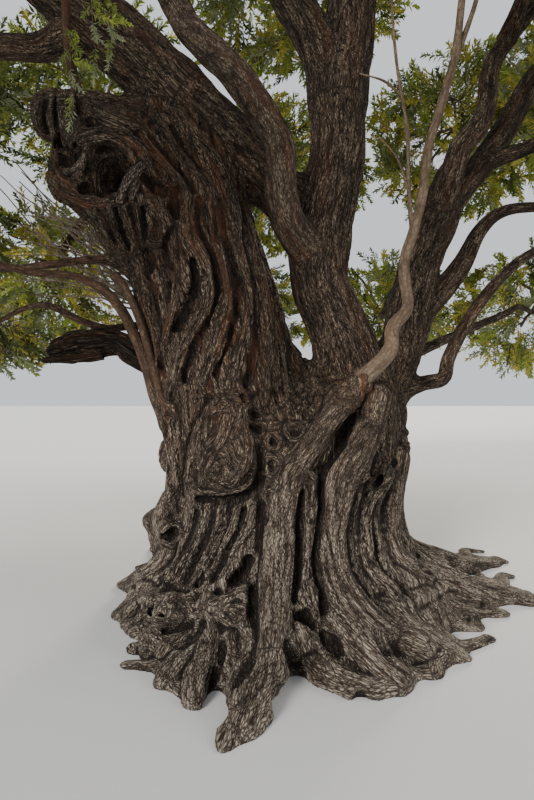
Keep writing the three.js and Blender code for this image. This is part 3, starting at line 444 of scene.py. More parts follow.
# Smaller roots that only the bark shows, laid out as the roots are.
ROOTLETS: Rows = (
    (-142, -138, 1.5, 0.32, 0.08), (-124, -128, 1.62, 0.36, 0.09), (-113, -109, 1.66, 0.42, 0.08),
    (-103, -107, 1.6, 0.4, 0.07), (-90, -86, 1.66, 0.3, 0.08), (-66, -58, 1.62, 0.36, 0.1),
    (-44, -36, 1.66, 0.4, 0.11), (-34, -24, 1.8, 0.36, 0.1),
    (-12, -3, 1.85, 0.34, 0.1), (20, 27, 1.75, 0.34, 0.1), (52, 58, 1.6, 0.36, 0.1),
    (80, 84, 1.62, 0.32, 0.09), (110, 113, 1.66, 0.36, 0.1), (136, 139, 1.6, 0.34, 0.1),
    (166, 170, 1.5, 0.36, 0.1), (-166, -170, 1.42, 0.34, 0.1),
)
CUT_STUB: Stations = ((-1.3, -0.25, 3.86, 0.26), (-1.65, -0.3, 3.93, 0.225), (-1.9, -0.34, 3.93, 0.2))
DEAD_STUB: Stations = (
    (-0.95, -0.12, 1.84, 0.13), (-1.25, -0.2, 1.98, 0.105), (-1.42, -0.2, 2.08, 0.1),
    (-1.63, -0.2, 2.08, 0.115), (-1.83, -0.2, 2.06, 0.1), (-2.02, -0.2, 2.0, 0.05),
)
DEAD_STUB_START = 1.0
# How wide and how long a face of dead wood and of a slim shoot is, and how much the dead wood is thickened.
DEAD_FACE = (0.01, 0.015)
SLIM_FACE = (0.012, 0.03)
DEAD_WIDTH = 1.12
# The two broken prongs of the dead stub.
PRONGS: tuple[Stations, ...] = (
    (
        (-1.6, -0.2, 2.1, 0.09), (-1.8, -0.21, 2.1, 0.06), (-1.93, -0.22, 2.09, 0.04),
        (-2.0, -0.22, 2.07, 0.018),
    ),
    (
        (-1.55, -0.24, 2.0, 0.06), (-1.75, -0.25, 1.96, 0.05), (-1.92, -0.26, 1.95, 0.036),
        (-2.05, -0.26, 1.93, 0.02),
    ),
)
# Slim shoots that only the bark shows: what carries them, whether they are pale, and their stations.
SLIM_SHOOTS: dict[str, tuple[str, bool, Stations]] = {
    "shoot_upright": ("trunk", False, (
        (-1.68, -0.42, 4.02, 0.05), (-1.66, -0.66, 4.24, 0.034), (-1.62, -0.82, 4.6, 0.03),
        (-1.6, -0.86, 5.0, 0.026), (-1.55, -0.95, 5.4, 0.022), (-1.6, -1.2, 5.9, 0.016),
    )),
    "shoot_sawn": ("trunk", False, (
        (-0.98, -0.36, 1.5, 0.045), (-1.06, -0.42, 1.8, 0.038), (-1.15, -0.45, 2.15, 0.034),
        (-1.27, -0.46, 2.45, 0.034), (-1.38, -0.46, 2.6, 0.04),
    )),
    "pale_fork": ("stem_pale", True, (
        (1.3, -0.36, 4.15, 0.028), (1.42, -0.4, 4.5, 0.024), (1.53, -0.45, 4.85, 0.02),
        (1.6, -0.6, 5.4, 0.014),
    )),
    "pale_twig": ("stem_pale", True, (
        (1.05, -0.3, 3.0, 0.022), (1.02, -0.3, 3.4, 0.018), (1.01, -0.3, 3.85, 0.016),
        (0.95, -0.3, 4.2, 0.014), (0.9, -0.3, 4.6, 0.012), (0.86, -0.34, 5.0, 0.008),
    )),
    "pale_twig_aside": ("stem_pale", True, (
        (0.97, -0.3, 4.12, 0.012), (0.82, -0.32, 4.24, 0.01), (0.6, -0.36, 4.28, 0.006),
    )),
    "pale_twig_low": ("stem_pale", True, (
        (1.03, -0.3, 3.3, 0.012), (0.92, -0.32, 3.6, 0.009), (0.76, -0.36, 3.76, 0.006),
    )),
}
# Sprigs that hang in front of the sawn-off stub: where they start and end.
HANGING: tuple[tuple[tuple[float, ...], tuple[float, ...]], ...] = (
    ((-1.45, -0.68, 4.72), (-1.38, -0.86, 4.02)), ((-1.33, -0.64, 4.62), (-1.27, -0.86, 4.12)),
    ((-1.62, -0.6, 4.45), (-1.56, -0.84, 3.7)),
)
SIGHT_STEPS = np.arange(1.7, 5.8, 0.015)


@dataclass(frozen=True)
class Space:
    """The room of one mass of foliage: its middle, its egg-shaped reach, and how many twigs its stem has."""

    at: tuple[float, float, float]
    reach: tuple[float, float, float]
    twigs: int


SPACES: dict[str, Space] = {
    "crown_top_left": Space((-0.9, 0.4, 7.95), (1.75, 1.6, 1.4), 5),
    "crown_top_right": Space((1.5, -0.2, 7.8), (1.7, 1.6, 1.35), 5),
    "crown_top_back": Space((0.3, 2.4, 7.4), (1.7, 1.5, 1.35), 5),
    "crown_high_front_left": Space((-1.9, -1.9, 6.9), (1.6, 1.5, 1.25), 5),
    "crown_high_front_right": Space((1.0, -2.6, 6.7), (1.6, 1.5, 1.25), 5),
    "crown_left_front": Space((-4.0, -1.2, 6.1), (1.6, 1.5, 1.3), 5),
    "crown_left": Space((-4.4, 1.0, 5.2), (1.5, 1.5, 1.25), 5),
    "crown_right_front": Space((3.7, -0.9, 6.5), (1.6, 1.5, 1.3), 5),
    "crown_right": Space((4.2, 1.7, 5.7), (1.6, 1.5, 1.3), 5),
    "crown_right_mid": Space((4.7, -0.7, 4.6), (1.4, 1.4, 1.1), 5),
    "crown_back_left": Space((-2.7, 3.1, 6.1), (1.7, 1.6, 1.4), 5),
    "crown_back": Space((0.1, 4.4, 5.6), (1.7, 1.5, 1.4), 5),
    "crown_back_right": Space((3.0, 3.6, 5.9), (1.6, 1.5, 1.35), 5),
    "crown_front": Space((-0.5, -4.2, 5.4), (1.6, 1.4, 1.2), 5),
    "crown_front_left": Space((-3.2, -3.4, 4.8), (1.6, 1.4, 1.2), 5),
    "crown_front_right": Space((2.9, -3.4, 5.0), (1.6, 1.4, 1.2), 5),
    "crown_inner_right": Space((1.5, -0.9, 6.05), (0.75, 0.7, 0.6), 3),
    "skirt_left": Space((-3.8, -0.1, 3.1), (1.2, 1.1, 0.9), 4),
    "skirt_left_front": Space((-3.1, -1.4, 2.6), (0.9, 0.8, 0.65), 3),
    "skirt_left_low": Space((-3.3, 0.7, 2.3), (0.9, 0.9, 0.6), 3),
    "skirt_back_left": Space((-3.7, 3.0, 3.4), (1.6, 1.5, 1.25), 5),
    "skirt_back": Space((-0.9, 4.8, 3.2), (1.6, 1.4, 1.25), 5),
    "skirt_back_right": Space((1.9, 4.6, 3.1), (1.5, 1.4, 1.2), 5),
    "skirt_right": Space((4.3, 0.8, 3.4), (1.3, 1.1, 0.95), 4),
    "skirt_right_front": Space((3.8, -1.0, 2.75), (1.1, 1.0, 0.75), 3),
    "skirt_right_back": Space((3.9, 2.7, 2.9), (1.4, 1.2, 1.0), 5),
}


@dataclass(frozen=True)
class BoughPlan:
    """One bough: what carries it, up to which station it is one with that, its mass, its tip and its way."""

    on: str
    collar: float
    into: str
    tip: float
    path: Stations
    pale: bool = False
    flaked: bool = False

    def bark(self) -> "Bark":
        """Returns the kind of bark."""
        return Bark.SMOOTH if self.pale else Bark.FLAKED if self.flaked else Bark.BOUGH

    def stations(self) -> np.ndarray:
        """Returns the stations with the bough's outer stretch and its tip at the rim of its mass."""
        space = SPACES[self.into]
        last = np.array(self.path[-1])
        away = last[:3] - np.array(space.at)
        end = np.array(space.at) + away / np.linalg.norm(away / np.array(space.reach)) * RIM
        half = (end + last[:3]) / 2
        half[2] += np.linalg.norm(end - last[:3]) * BOUGH_ARCH
        return np.array([*self.path, (*half, (last[3] + self.tip) / 2), (*end, self.tip)])


BOUGHS: dict[str, BoughPlan] = {
    "bough_left_diagonal": BoughPlan("trunk", 1.3, "crown_left_front", 0.085, (
        (-0.95, -0.2, 4.2, 0.28), (-1.25, -0.3, 4.46, 0.27), (-1.56, -0.4, 4.69, 0.26),
        (-1.95, -0.5, 4.98, 0.23),
    )),
    "bough_left_level": BoughPlan("bough_left_diagonal", 0.9, "crown_left", 0.06, (
        (-1.56, -0.4, 4.66, 0.13), (-1.98, -0.34, 4.52, 0.105), (-2.4, -0.25, 4.58, 0.098),
    )),
    "bough_front_left": BoughPlan("bough_left_diagonal", 0.75, "crown_front_left", 0.055, (
        (-1.95, -0.5, 4.98, 0.15), (-2.15, -1.05, 5.0, 0.12),
    )),
    "bough_front_curved": BoughPlan("trunk", 1.25, "crown_high_front_left", 0.06, (
        (0.3, -0.1, 2.78, 0.17), (0.06, -0.34, 2.99, 0.145), (-0.04, -0.43, 3.24, 0.13),
        (-0.056, -0.48, 3.6, 0.122), (-0.17, -0.5, 3.83, 0.12), (-0.38, -0.54, 4.12, 0.12),
        (-0.66, -0.57, 4.38, 0.118), (-0.88, -0.6, 4.68, 0.115),
    ), flaked=True),
    "bough_front": BoughPlan("bough_front_curved", 0.7, "crown_front", 0.045, (
        (-0.88, -0.6, 4.68, 0.085), (-0.75, -1.15, 5.1, 0.075),
    )),
    "bough_centre_left": BoughPlan("trunk", 2.6, "crown_top_left", 0.08, (
        (0.45, -0.1, 4.25, 0.2), (0.3, -0.12, 4.64, 0.178), (0.14, -0.12, 4.94, 0.168),
        (0.0, -0.1, 5.2, 0.16),
    )),
    "bough_centre_right": BoughPlan("trunk", 1.7, "crown_top_right", 0.09, (
        (0.47, -0.1, 4.25, 0.24), (0.55, -0.1, 4.7, 0.228), (0.59, -0.1, 5.15, 0.215),
        (0.72, -0.14, 5.7, 0.19),
    )),
    "bough_high_front": BoughPlan("bough_centre_right", 0.8, "crown_high_front_right", 0.06, (
        (0.72, -0.14, 5.7, 0.13), (0.8, -0.7, 6.0, 0.11),
    )),
    "bough_centre_back": BoughPlan("trunk", 0.9, "crown_top_back", 0.07, (
        (0.46, -0.1, 3.75, 0.16), (0.5, 0.42, 4.2, 0.145), (0.42, 0.95, 4.9, 0.13),
    )),
    "bough_right_upright": BoughPlan("trunk", 1.15, "crown_right_front", 0.055, (
        (1.44, 0.37, 3.2, 0.14), (1.6, 0.3, 3.72, 0.115), (1.69, 0.3, 4.0, 0.108), (1.88, 0.32, 4.24, 0.1),
        (1.98, 0.36, 4.5, 0.094), (2.02, 0.4, 4.8, 0.09), (2.2, 0.42, 5.14, 0.085),
    )),
    "bough_front_right": BoughPlan("bough_right_upright", 0.6, "crown_front_right", 0.045, (
        (2.2, 0.42, 5.14, 0.07), (2.2, -0.1, 5.4, 0.065), (2.25, -0.8, 5.5, 0.06),
    )),
    "bough_right_main": BoughPlan("trunk", 1.15, "crown_right", 0.065, (
        (1.5, 0.4, 3.3, 0.155), (1.74, 0.5, 3.66, 0.138), (1.94, 0.55, 3.9, 0.132), (2.13, 0.58, 4.15, 0.126),
        (2.35, 0.62, 4.5, 0.12), (2.62, 0.66, 4.95, 0.11),
    )),
    "bough_right_cross": BoughPlan("bough_right_main", 0.8, "crown_right_mid", 0.045, (
        (2.02, 0.56, 4.02, 0.08), (2.36, 0.42, 4.06, 0.068), (2.62, 0.3, 4.16, 0.062),
    )),
    "bough_right_low": BoughPlan("trunk", 1.1, "skirt_right", 0.035, (
        (1.24, 0.3, 2.36, 0.14), (1.6, 0.38, 2.74, 0.11), (1.77, 0.42, 2.96, 0.095),
        (1.92, 0.46, 3.23, 0.076), (2.12, 0.5, 3.44, 0.06), (2.4, 0.55, 3.54, 0.053),
    )),
    "bough_right_thin": BoughPlan("trunk", 0.9, "skirt_right_back", 0.03, (
        (1.08, 0.3, 1.96, 0.06), (1.5, 0.5, 2.15, 0.05), (1.95, 0.72, 2.34, 0.045), (2.5, 1.1, 2.56, 0.04),
    )),
    "bough_right_knee": BoughPlan("trunk", 1.6, "skirt_right_front", 0.03, (
        (0.92, 0.22, 1.62, 0.09), (1.27, 0.15, 1.75, 0.074), (1.46, 0.12, 1.8, 0.068),
        (1.51, 0.12, 1.98, 0.062), (1.62, 0.1, 2.22, 0.058), (1.74, 0.06, 2.44, 0.055),
        (1.9, 0, 2.66, 0.05), (2.12, -0.08, 2.86, 0.045), (2.5, -0.2, 3.02, 0.04),
    )),
    "stem_pale": BoughPlan("trunk", 0.7, "crown_inner_right", 0.022, (
        (0.42, -0.55, 1.6, 0.1), (0.6, -0.56, 1.78, 0.072), (0.82, -0.46, 1.99, 0.062),
        (0.86, -0.4, 2.18, 0.056), (1.0, -0.34, 2.37, 0.052), (0.98, -0.32, 2.58, 0.046),
        (0.99, -0.3, 2.8, 0.043), (1.06, -0.3, 3.0, 0.042), (1.13, -0.3, 3.3, 0.04),
        (1.18, -0.32, 3.7, 0.037), (1.28, -0.35, 4.05, 0.035), (1.37, -0.4, 4.42, 0.032),
        (1.4, -0.5, 4.9, 0.028),
    ), pale=True),
    "shoot_left_tall": BoughPlan("trunk", 1.4, "skirt_left_front", 0.02, (
        (-0.98, -0.3, 1.4, 0.06), (-1.09, -0.36, 1.66, 0.05), (-1.15, -0.4, 1.91, 0.044),
        (-1.25, -0.42, 2.17, 0.042), (-1.37, -0.44, 2.38, 0.04), (-1.5, -0.48, 2.5, 0.036),
        (-1.68, -0.55, 2.57, 0.032), (-1.95, -0.7, 2.56, 0.028),
    ), pale=True),
    "shoot_left_arched": BoughPlan("trunk", 2.4, "skirt_left", 0.025, (
        (-1.1, -0.25, 2.52, 0.055), (-1.3, -0.3, 2.66, 0.043), (-1.48, -0.33, 2.75, 0.037),
        (-1.72, -0.33, 2.75, 0.034), (-2.0, -0.32, 2.72, 0.032), (-2.4, -0.28, 2.7, 0.03),
    )),
    "shoot_left_low": BoughPlan("trunk", 1.2, "skirt_left_low", 0.022, (
        (-1.05, -0.02, 2.26, 0.045), (-1.35, -0.02, 2.26, 0.036), (-1.6, -0.02, 2.24, 0.034),
        (-1.85, 0, 2.32, 0.032), (-2.15, 0.06, 2.46, 0.03),
    )),
    "bough_back_left": BoughPlan("trunk", 1.0, "crown_back_left", 0.08, (
        (-0.85, -0.1, 2.95, 0.24), (-1.15, 0.55, 3.5, 0.19), (-1.5, 1.15, 4.1, 0.165),
    )),
    "bough_back_left_low": BoughPlan("bough_back_left", 0.8, "skirt_back_left", 0.05, (
        (-1.5, 1.15, 4.1, 0.11), (-2.0, 1.55, 4.15, 0.09),
    )),
    "bough_back": BoughPlan("trunk", 0.9, "crown_back", 0.08, (
        (-0.05, 0.3, 1.5, 0.26), (-0.3, 0.95, 2.2, 0.2), (-0.52, 1.6, 3.0, 0.175), (-0.75, 2.3, 3.9, 0.15),
    )),
    "bough_back_low": BoughPlan("bough_back", 0.8, "skirt_back", 0.05, (
        (-0.52, 1.6, 3.0, 0.11), (-0.75, 2.15, 3.15, 0.09),
    )),
    "bough_back_right": BoughPlan("trunk", 0.9, "crown_back_right", 0.075, (
        (1.18, 0.32, 2.3, 0.17), (1.45, 0.85, 2.85, 0.145), (1.75, 1.45, 3.6, 0.13),
    )),
    "bough_back_right_low": BoughPlan("bough_back_right", 0.8, "skirt_back_right", 0.045, (
        (1.45, 0.85, 2.85, 0.09), (1.5, 1.4, 2.95, 0.08),
    )),
}


class SeededNumbers:
    """Numbers from 0 to 1 that are the same on every run, and the same as the solids' own."""

    MASK = 0xFFFFFFFF

    def __init__(self, seed: int) -> None:
        """Starts the row of numbers.

        Args:
            seed: a whole number that picks the row.
        """
        self.state = seed & self.MASK

    def __call__(self) -> float:
        """Returns the next number."""
        mask = self.MASK
        self.state = (self.state + 0x6D2B79F5) & mask
        mixed = ((self.state ^ (self.state >> 15)) * (1 | self.state)) & mask
        mixed = ((mixed + (((mixed ^ (mixed >> 7)) * (61 | mixed)) & mask)) & mask) ^ mixed
        return ((mixed ^ (mixed >> 14)) & mask) / 4294967296


def cell_codes(cells: np.ndarray, seed: int) -> np.ndarray:
    """Gives each whole-number cell its own random 32 bits.

    Args:
        cells: whole numbers, three to a row.
        seed: picks one of many such fields.

    Returns:
        Whole numbers, one to a row.
    """
    code = cells.astype(np.uint32)
    mixed = code[..., 0] * np.uint32(73856093) ^ code[..., 1] * np.uint32(19349663)
    mixed = mixed ^ (code[..., 2] * np.uint32(83492791) + np.uint32(seed * 2654435761 & 0xFFFFFFFF))
    mixed = (mixed ^ (mixed >> np.uint32(16))) * np.uint32(0x45D9F3B)
    mixed = (mixed ^ (mixed >> np.uint32(15))) * np.uint32(0x2C1B3C6D)
    return mixed ^ (mixed >> np.uint32(16))


def code_part(codes: np.ndarray, part: int) -> np.ndarray:
    """Returns the first, second or third number from 0 to 1 that random bits hold."""
    return ((codes >> np.uint32(10 * part)) & np.uint32(1023)) / 1023


def soft_noise(points: np.ndarray, seed: int) -> np.ndarray:
    """Smooth random values from about -1 to 1, one to a point, that change over a unit of length."""
    base = np.floor(points)
    offset = points - base
    share = offset**3 * (offset * (offset * 6 - 15) + 10)
    cells = base.astype(np.int64)
    total = np.zeros(len(points))
    for corner in np.ndindex(2, 2, 2):
        step = np.array(corner)
        codes = cell_codes(cells + step, seed)
        slope = sum((code_part(codes, k) * 2 - 1) * (offset[:, k] - step[k]) for k in range(3))
        total += np.prod(np.where(step, share, 1 - share), axis=1) * slope
    return total * 1.7


def unit(vectors: np.ndarray) -> np.ndarray:
    """Returns vectors of length one."""
    return vectors / np.maximum(np.linalg.norm(vectors, axis=-1, keepdims=True), 1e-9)


def smooth_step(low: float, high: float, values: np.ndarray) -> np.ndarray:
    """Returns 0 below low, 1 above high, and a soft ramp between."""
    share = np.clip((values - low) / (high - low), 0, 1)
    return share * share * (3 - 2 * share)


@dataclass(frozen=True)
class BarkRelief:
    """How deep one kind of bark is cut, in metres, and how wide and long its forms are.

    Its looks are how furrowed, how rusty and how weathered it is.
    """

    WARP_SIZE = (0.3, 0.3, 0.5)
    MINOR = 0.55
    MINOR_SHARE = 0.35
    LEAST = 0.15

    swell: float
    ridge: float
    swell_size: tuple[float, float]
    ridge_size: tuple[float, float]
    full_girth: float = 0.2
    warp: float = 0.05
    looks: tuple[float, float, float] = (1.0, 0.3, 0.0)

    def at(self, grain: np.ndarray, girth: np.ndarray) -> tuple[np.ndarray, np.ndarray]:
        """Works out the relief.

        Args:
            grain: places along the straightened limb, three to a row.
            girth: the limb's radius at each place.

        Returns:
            How far each point moves out, and how deep in a groove it lies, from 0 to 1, which sets how
            dark the bark is painted there as shade.
        """
        bent = grain.copy()
        for axis in range(2):
            bent[:, axis] += self.warp * soft_noise(grain / self.WARP_SIZE, 11 + axis)
        swell = soft_noise(self._scaled(bent, self.swell_size, 1), 21)
        ridge = self._furrows(bent, 1, 0.4, 31) ** 1.5
        minor = self._furrows(bent, self.MINOR, 0.45, 41) ** 1.4
        groove = np.maximum(ridge * 0.7, minor * 0.4)
        moved = self.swell * swell - self.ridge * (ridge + self.MINOR_SHARE * minor)
        return moved * np.clip(girth / self.full_girth, self.LEAST, 1), groove

    def _furrows(self, grain: np.ndarray, share: float, width: float, seed: int) -> np.ndarray:
        """Returns 1 along the lines where smooth noise is nought, falling to 0 beside them."""
        noise = soft_noise(self._scaled(grain, self.ridge_size, share), seed)
        return 1 - smooth_step(0, width, np.abs(noise))

    @staticmethod
    def _scaled(grain: np.ndarray, size: tuple[float, float], share: float) -> np.ndarray:
        """Returns the places in widths across and lengths along, each taken at a share of its size."""
        return grain / (size[0] * share, size[0] * share, size[1] * share)


class Bark(Enum):
    """The kinds of relief on the tree."""

    OLD = BarkRelief(0.03, 0.024, (0.22, 1.0), (0.08, 0.75), full_girth=0.3, looks=(1.0, 0.65, 0.0))
    LEG = BarkRelief(0.014, 0.008, (0.16, 0.5), (0.06, 0.5), full_girth=0.1, looks=(0.5, 0.15, 0.1))
    FIBRE = BarkRelief(0.012, 0.012, (0.1, 0.5), (0.04, 0.5), full_girth=0.06, looks=(1.0, 0.8, 0.1))
    ROOT = BarkRelief(0.022, 0.012, (0.15, 0.5), (0.07, 0.42), full_girth=0.12, looks=(0.5, 0.0, 0.25))
    BURL = BarkRelief(0.018, 0.014, (0.12, 0.3), (0.05, 0.34), full_girth=0.14, looks=(0.7, 0.5, 0.0))
    BOUGH = BarkRelief(0.014, 0.009, (0.14, 0.5), (0.05, 0.4), warp=0.03, looks=(0.9, 0.35, 0.0))
    FLAKED = BarkRelief(
        0.02, 0.006, (0.1, 0.25), (0.06, 0.2), full_girth=0.15, warp=0.03, looks=(0.35, 0.6, 0.12)
    )
    WART = BarkRelief(0.012, 0.006, (0.06, 0.08), (0.03, 0.06), full_girth=0.05, looks=(0.4, 1.22, 0.1))
    TORN = BarkRelief(0.01, 0.012, (0.05, 0.3), (0.02, 0.3), full_girth=0.04, looks=(0.8, 0.1, 0.9))
    SMOOTH = BarkRelief(
        0.008, 0.001, (0.08, 0.2), (0.05, 0.2), full_girth=0.05, warp=0.01, looks=(0.1, 0.3, 0.0)
    )
    DEAD = BarkRelief(0.024, 0.026, (0.09, 0.3), (0.04, 0.5), full_girth=0.1, warp=0.02)


class Melt:
    """How softly each kind of shape melts into the wood, in metres."""

    STEM = 0.14
    RIB = 0.06
    ROOT = 0.12
    ROOTLET = 0.07
    ROOT_END = 0.08
    BURL = 0.1
    KNOT = 0.06
    CUT_STUB = 0.12
    COLLAR = 0.1
    RIDGE = 0.04
    RING = 0.02
    WART = 0.03
    KNUCKLE = 0.025
    FOOT_WART = 0.02
    HOLLOW = 0.06
    CREVICE = 0.025
    SPLINTER = 0.015


class LimbLine:
    """A smooth line through stations, with the limb's radius worked out along it. t counts stations."""

    def __init__(self, stations: np.ndarray | Stations, per_station: int = 4) -> None:
        """Lays the line and samples it.

        Args:
            stations: rows of x, y, z and radius.
            per_station: how many samples lie from one station to the next.
        """
        self.stations = np.array(stations, float)
        self.last = len(self.stations) - 1
        self.t = np.linspace(0, self.last, self.last * per_station + 1)
        self.points = self.point(self.t)
        self.headings = self.heading(self.t)
        self.radii = self.radius(self.t)
        steps = np.linalg.norm(np.diff(self.points, axis=0), axis=1)
        self.arc = np.concatenate([[0], np.cumsum(steps)])
        self.across = self._turned_frames()
        self.side = np.cross(self.across, self.headings)

    def point(self, t: np.ndarray) -> np.ndarray:
        """Returns places on the line."""
        known = self.stations[:, :3]
        ends = (2 * known[0] - known[1], 2 * known[-1] - known[-2])
        padded = np.vstack([ends[0], known, ends[1]])
        t = np.clip(np.atleast_1d(t), 0, self.last)
        low = np.minimum(np.floor(t).astype(int), self.last - 1)
        w = (t - low)[:, None]
        before, start, end, after = (padded[low + k] for k in range(4))
        leave, arrive = (end - before) / 2, (after - start) / 2
        cubic = 2 * start - 2 * end + leave + arrive
        square = -3 * start + 3 * end - 2 * leave - arrive
        return start + leave * w + square * w**2 + cubic * w**3

    def heading(self, t: np.ndarray) -> np.ndarray:
        """Returns unit directions along the line."""
        t = np.atleast_1d(t)
        ahead = self.point(t + 0.02) - self.point(t - 0.02)
        return ahead / np.linalg.norm(ahead, axis=1, keepdims=True)

    def radius(self, t: np.ndarray) -> np.ndarray:
        """Returns the limb's radius at places on the line."""
        return np.interp(np.atleast_1d(t), np.arange(self.last + 1), self.stations[:, 3])

    def _turned_frames(self) -> np.ndarray:
        """Returns a direction across the line at each sample, turned as little as can be."""
        across = np.array([1.0, 0, 0]) if abs(self.headings[0, 2]) > 0.5 else np.array([0, 0, 1.0])
        rows = []
        for heading in self.headings:
            across = across - heading * across.dot(heading)
            across = across / np.linalg.norm(across)
            rows.append(across)
        return np.array(rows)

    def shortened(self, until: float, scales: tuple[float, float]) -> "LimbLine":
        """Returns the line's first stretch, with its radii scaled.

        Args:
            until: the place where it stops, counted in stations.
            scales: what the radii are multiplied by at the start and at the stop.

        Returns:
            A line with the same frames and the same lengths along.
        """
        short = LimbLine(self.stations)
        kept = self.t <= until + 1e-6
        for name in ("t", "points", "headings", "radii", "arc", "across", "side"):
            setattr(short, name, getattr(self, name)[kept])
        short.radii = short.radii * np.linspace(*scales, len(short.radii))
        return short

    def measure(self, points: np.ndarray) -> tuple[np.ndarray, np.ndarray, np.ndarray]:
        """Finds each point's place on the limb.

        Args:
            points: places in space, three to a row.

        Returns:
            Distances to the limb's surface, the nearest samples' numbers, and how far past them each lies.
        """
        best = np.full(len(points), 1e9)
        where = np.zeros(len(points), int)
        past = np.zeros(len(points))
        for k in range(len(self.t) - 1):
            start, step = self.points[k], self.points[k + 1] - self.points[k]
            offset = points - start
            share = np.clip(offset @ step / step.dot(step), 0, 1)
            square = ((offset - share[:, None] * step) ** 2).sum(1)
            nearer = square < best
            best[nearer], where[nearer], past[nearer] = square[nearer], k, share[nearer]
        growth = np.diff(self.radii)
        tilt = np.sqrt(1 + (growth / np.diff(self.arc)) ** 2)
        gap = (np.sqrt(best) - self.radii[where] - growth[where] * past) / tilt[where]
        return gap, where, past

    def straighten(self, points: np.ndarray, where: np.ndarray, past: np.ndarray) -> np.ndarray:
        """Gives points their places on the limb as if it were straight and upright.

        Args:
            points: places in space.
            where: the nearest samples' numbers.
            past: how far past those samples each place lies, as a share of the step.

        Returns:
            Places across, aside and along the limb, started from the limb's own foot.
        """
        def mixed(rows: np.ndarray) -> np.ndarray:
            return rows[where] * (1 - past)[:, None] + rows[where + 1] * past[:, None]

        offset = points - mixed(self.points)
        along = self.arc[where] * (1 - past) + self.arc[where + 1] * past
        foot = self.points[0]
        across = (offset * mixed(self.across)).sum(1) + foot[0]
        aside = (offset * mixed(self.side)).sum(1) + foot[1]
        return np.stack([across, aside, along + foot[2]], axis=1)


@dataclass
class LimbShape:
    """A limb as a shape of the trunk's field: its line, its bark, and how softly it melts into the rest."""

    SPLAY_RADIUS = 0.95

    line: LimbLine
    bark: Bark
    melt: float
    splayed: bool = False

    def box(self) -> tuple[np.ndarray, np.ndarray]:
        """Returns the lowest and highest corners of the room that the shape may touch."""
        wide = self.line.radii.max() + self.melt + SHAPE_ROOM
        return self.line.points.min(0) - wide, self.line.points.max(0) + wide

    def distance(self, points: np.ndarray) -> np.ndarray:
        """Returns distances to the shape's surface, less than zero inside."""
        return self.line.measure(points)[0]

    def grain(self, points: np.ndarray) -> tuple[np.ndarray, np.ndarray]:
        """Returns places along the grain and the radius there. A splayed grain runs outwards and down."""
        _, where, past = self.line.measure(points)
        if not self.splayed:
            return self.line.straighten(points, where, past), self.line.radii[where]
        flat = points[:, :2] - self.line.points[where, :2]
        far = np.maximum(np.linalg.norm(flat, axis=1), 1e-6)
        around = flat / far[:, None] * self.SPLAY_RADIUS
        splay = np.stack([around[:, 0], around[:, 1], 0.5 * points[:, 2] - far], axis=1)
        return splay, self.line.radii[where]


@dataclass
class EggShape:
    """A burl, a knot or a hollow: an egg-shaped solid, from its middle and half sizes."""

    RING_SQUEEZE = 0.2
    RING_EYE = (-0.3, 0, -0.35)

    sizes: tuple[float, ...]
    bark: Bark
    melt: float
    ringed: bool = False

    def box(self) -> tuple[np.ndarray, np.ndarray]:
        """Returns the lowest and highest corners of the room that the shape may touch."""
        middle, half = np.array(self.sizes[:3]), np.array(self.sizes[3:])
        return middle - half - self.melt - SHAPE_ROOM, middle + half + self.melt + SHAPE_ROOM

    def distance(self, points: np.ndarray) -> np.ndarray:
        """Returns distances to the shape's surface, less than zero inside."""
        middle, half = np.array(self.sizes[:3]), np.array(self.sizes[3:])
        offset = points - middle
        once = np.linalg.norm(offset / half, axis=1)
        twice = np.linalg.norm(offset / half**2, axis=1)
        return once * (once - 1) / np.maximum(twice, 1e-6)

    def grain(self, points: np.ndarray) -> tuple[np.ndarray, np.ndarray]:
        """Returns places along the grain, and the least half size. A ringed grain runs round a low eye."""
        middle, half = np.array(self.sizes[:3]), np.array(self.sizes[3:])
        if not self.ringed:
            return points, np.full(len(points), half.min())
        offset = points - middle - half * self.RING_EYE
        waver = 0.5 * half.max() * soft_noise(offset / half.max() / 0.8, 61)
        away = np.hypot(offset[:, 0], offset[:, 2]) + waver
        turn = np.arctan2(offset[:, 2], offset[:, 0])
        lap = 0.7 * half.max()
        rings = np.stack([away, lap * self.RING_SQUEEZE * np.cos(turn), lap * np.sin(turn)], axis=1)
        return rings + middle, np.full(len(points), half.min())


def front_of(x: float, z: float) -> float:
    """Returns how far forward the trunk's stems reach at x and z."""
    faces = []
    for stations in STEMS.values():
        line = LimbLine(stations)
        low = 0.0
        while low < line.last and line.point(low)[0, 2] < z:
            low += 0.1
        middle, radius = line.point(low)[0], line.radius(low)[0]
        aside = x - middle[0]
        if low < line.last and abs(aside) < radius:
            faces.append(middle[1] - math.sqrt(radius**2 - aside**2))
    return min(faces, default=0.0)


def rib_line(rib: Stations) -> LimbLine:
    """Returns the line of a rib that follows the front of the trunk."""
    return LimbLine([(x, front_of(x, max(z, 0.05)) + sunk, z, radius) for x, z, radius, sunk in rib])


def root_line(root: tuple[float, ...]) -> LimbLine:
    """Returns the line of a root, which leaves the trunk high and sinks into the ground at its tip."""
    foot_bearing, tip_bearing, reach, height, radius = root
    rows = []
    for share in ROOT_SHARES:
        bearing = math.radians(foot_bearing + (tip_bearing - foot_bearing) * share**2)
        out = FOOT_RADIUS + (reach - FOOT_RADIUS) * share
        girth = radius * (1 - (1 - ROOT_TIP) * share)
        sunk = girth * (ROOT_SUNK[0] + (ROOT_SUNK[1] - ROOT_SUNK[0]) * share**2)
        rise = height * (1 - share) ** ROOT_FALL - sunk
        rows.append((out * math.cos(bearing), out * math.sin(bearing), rise, girth))
    return LimbLine(rows, per_station=5)


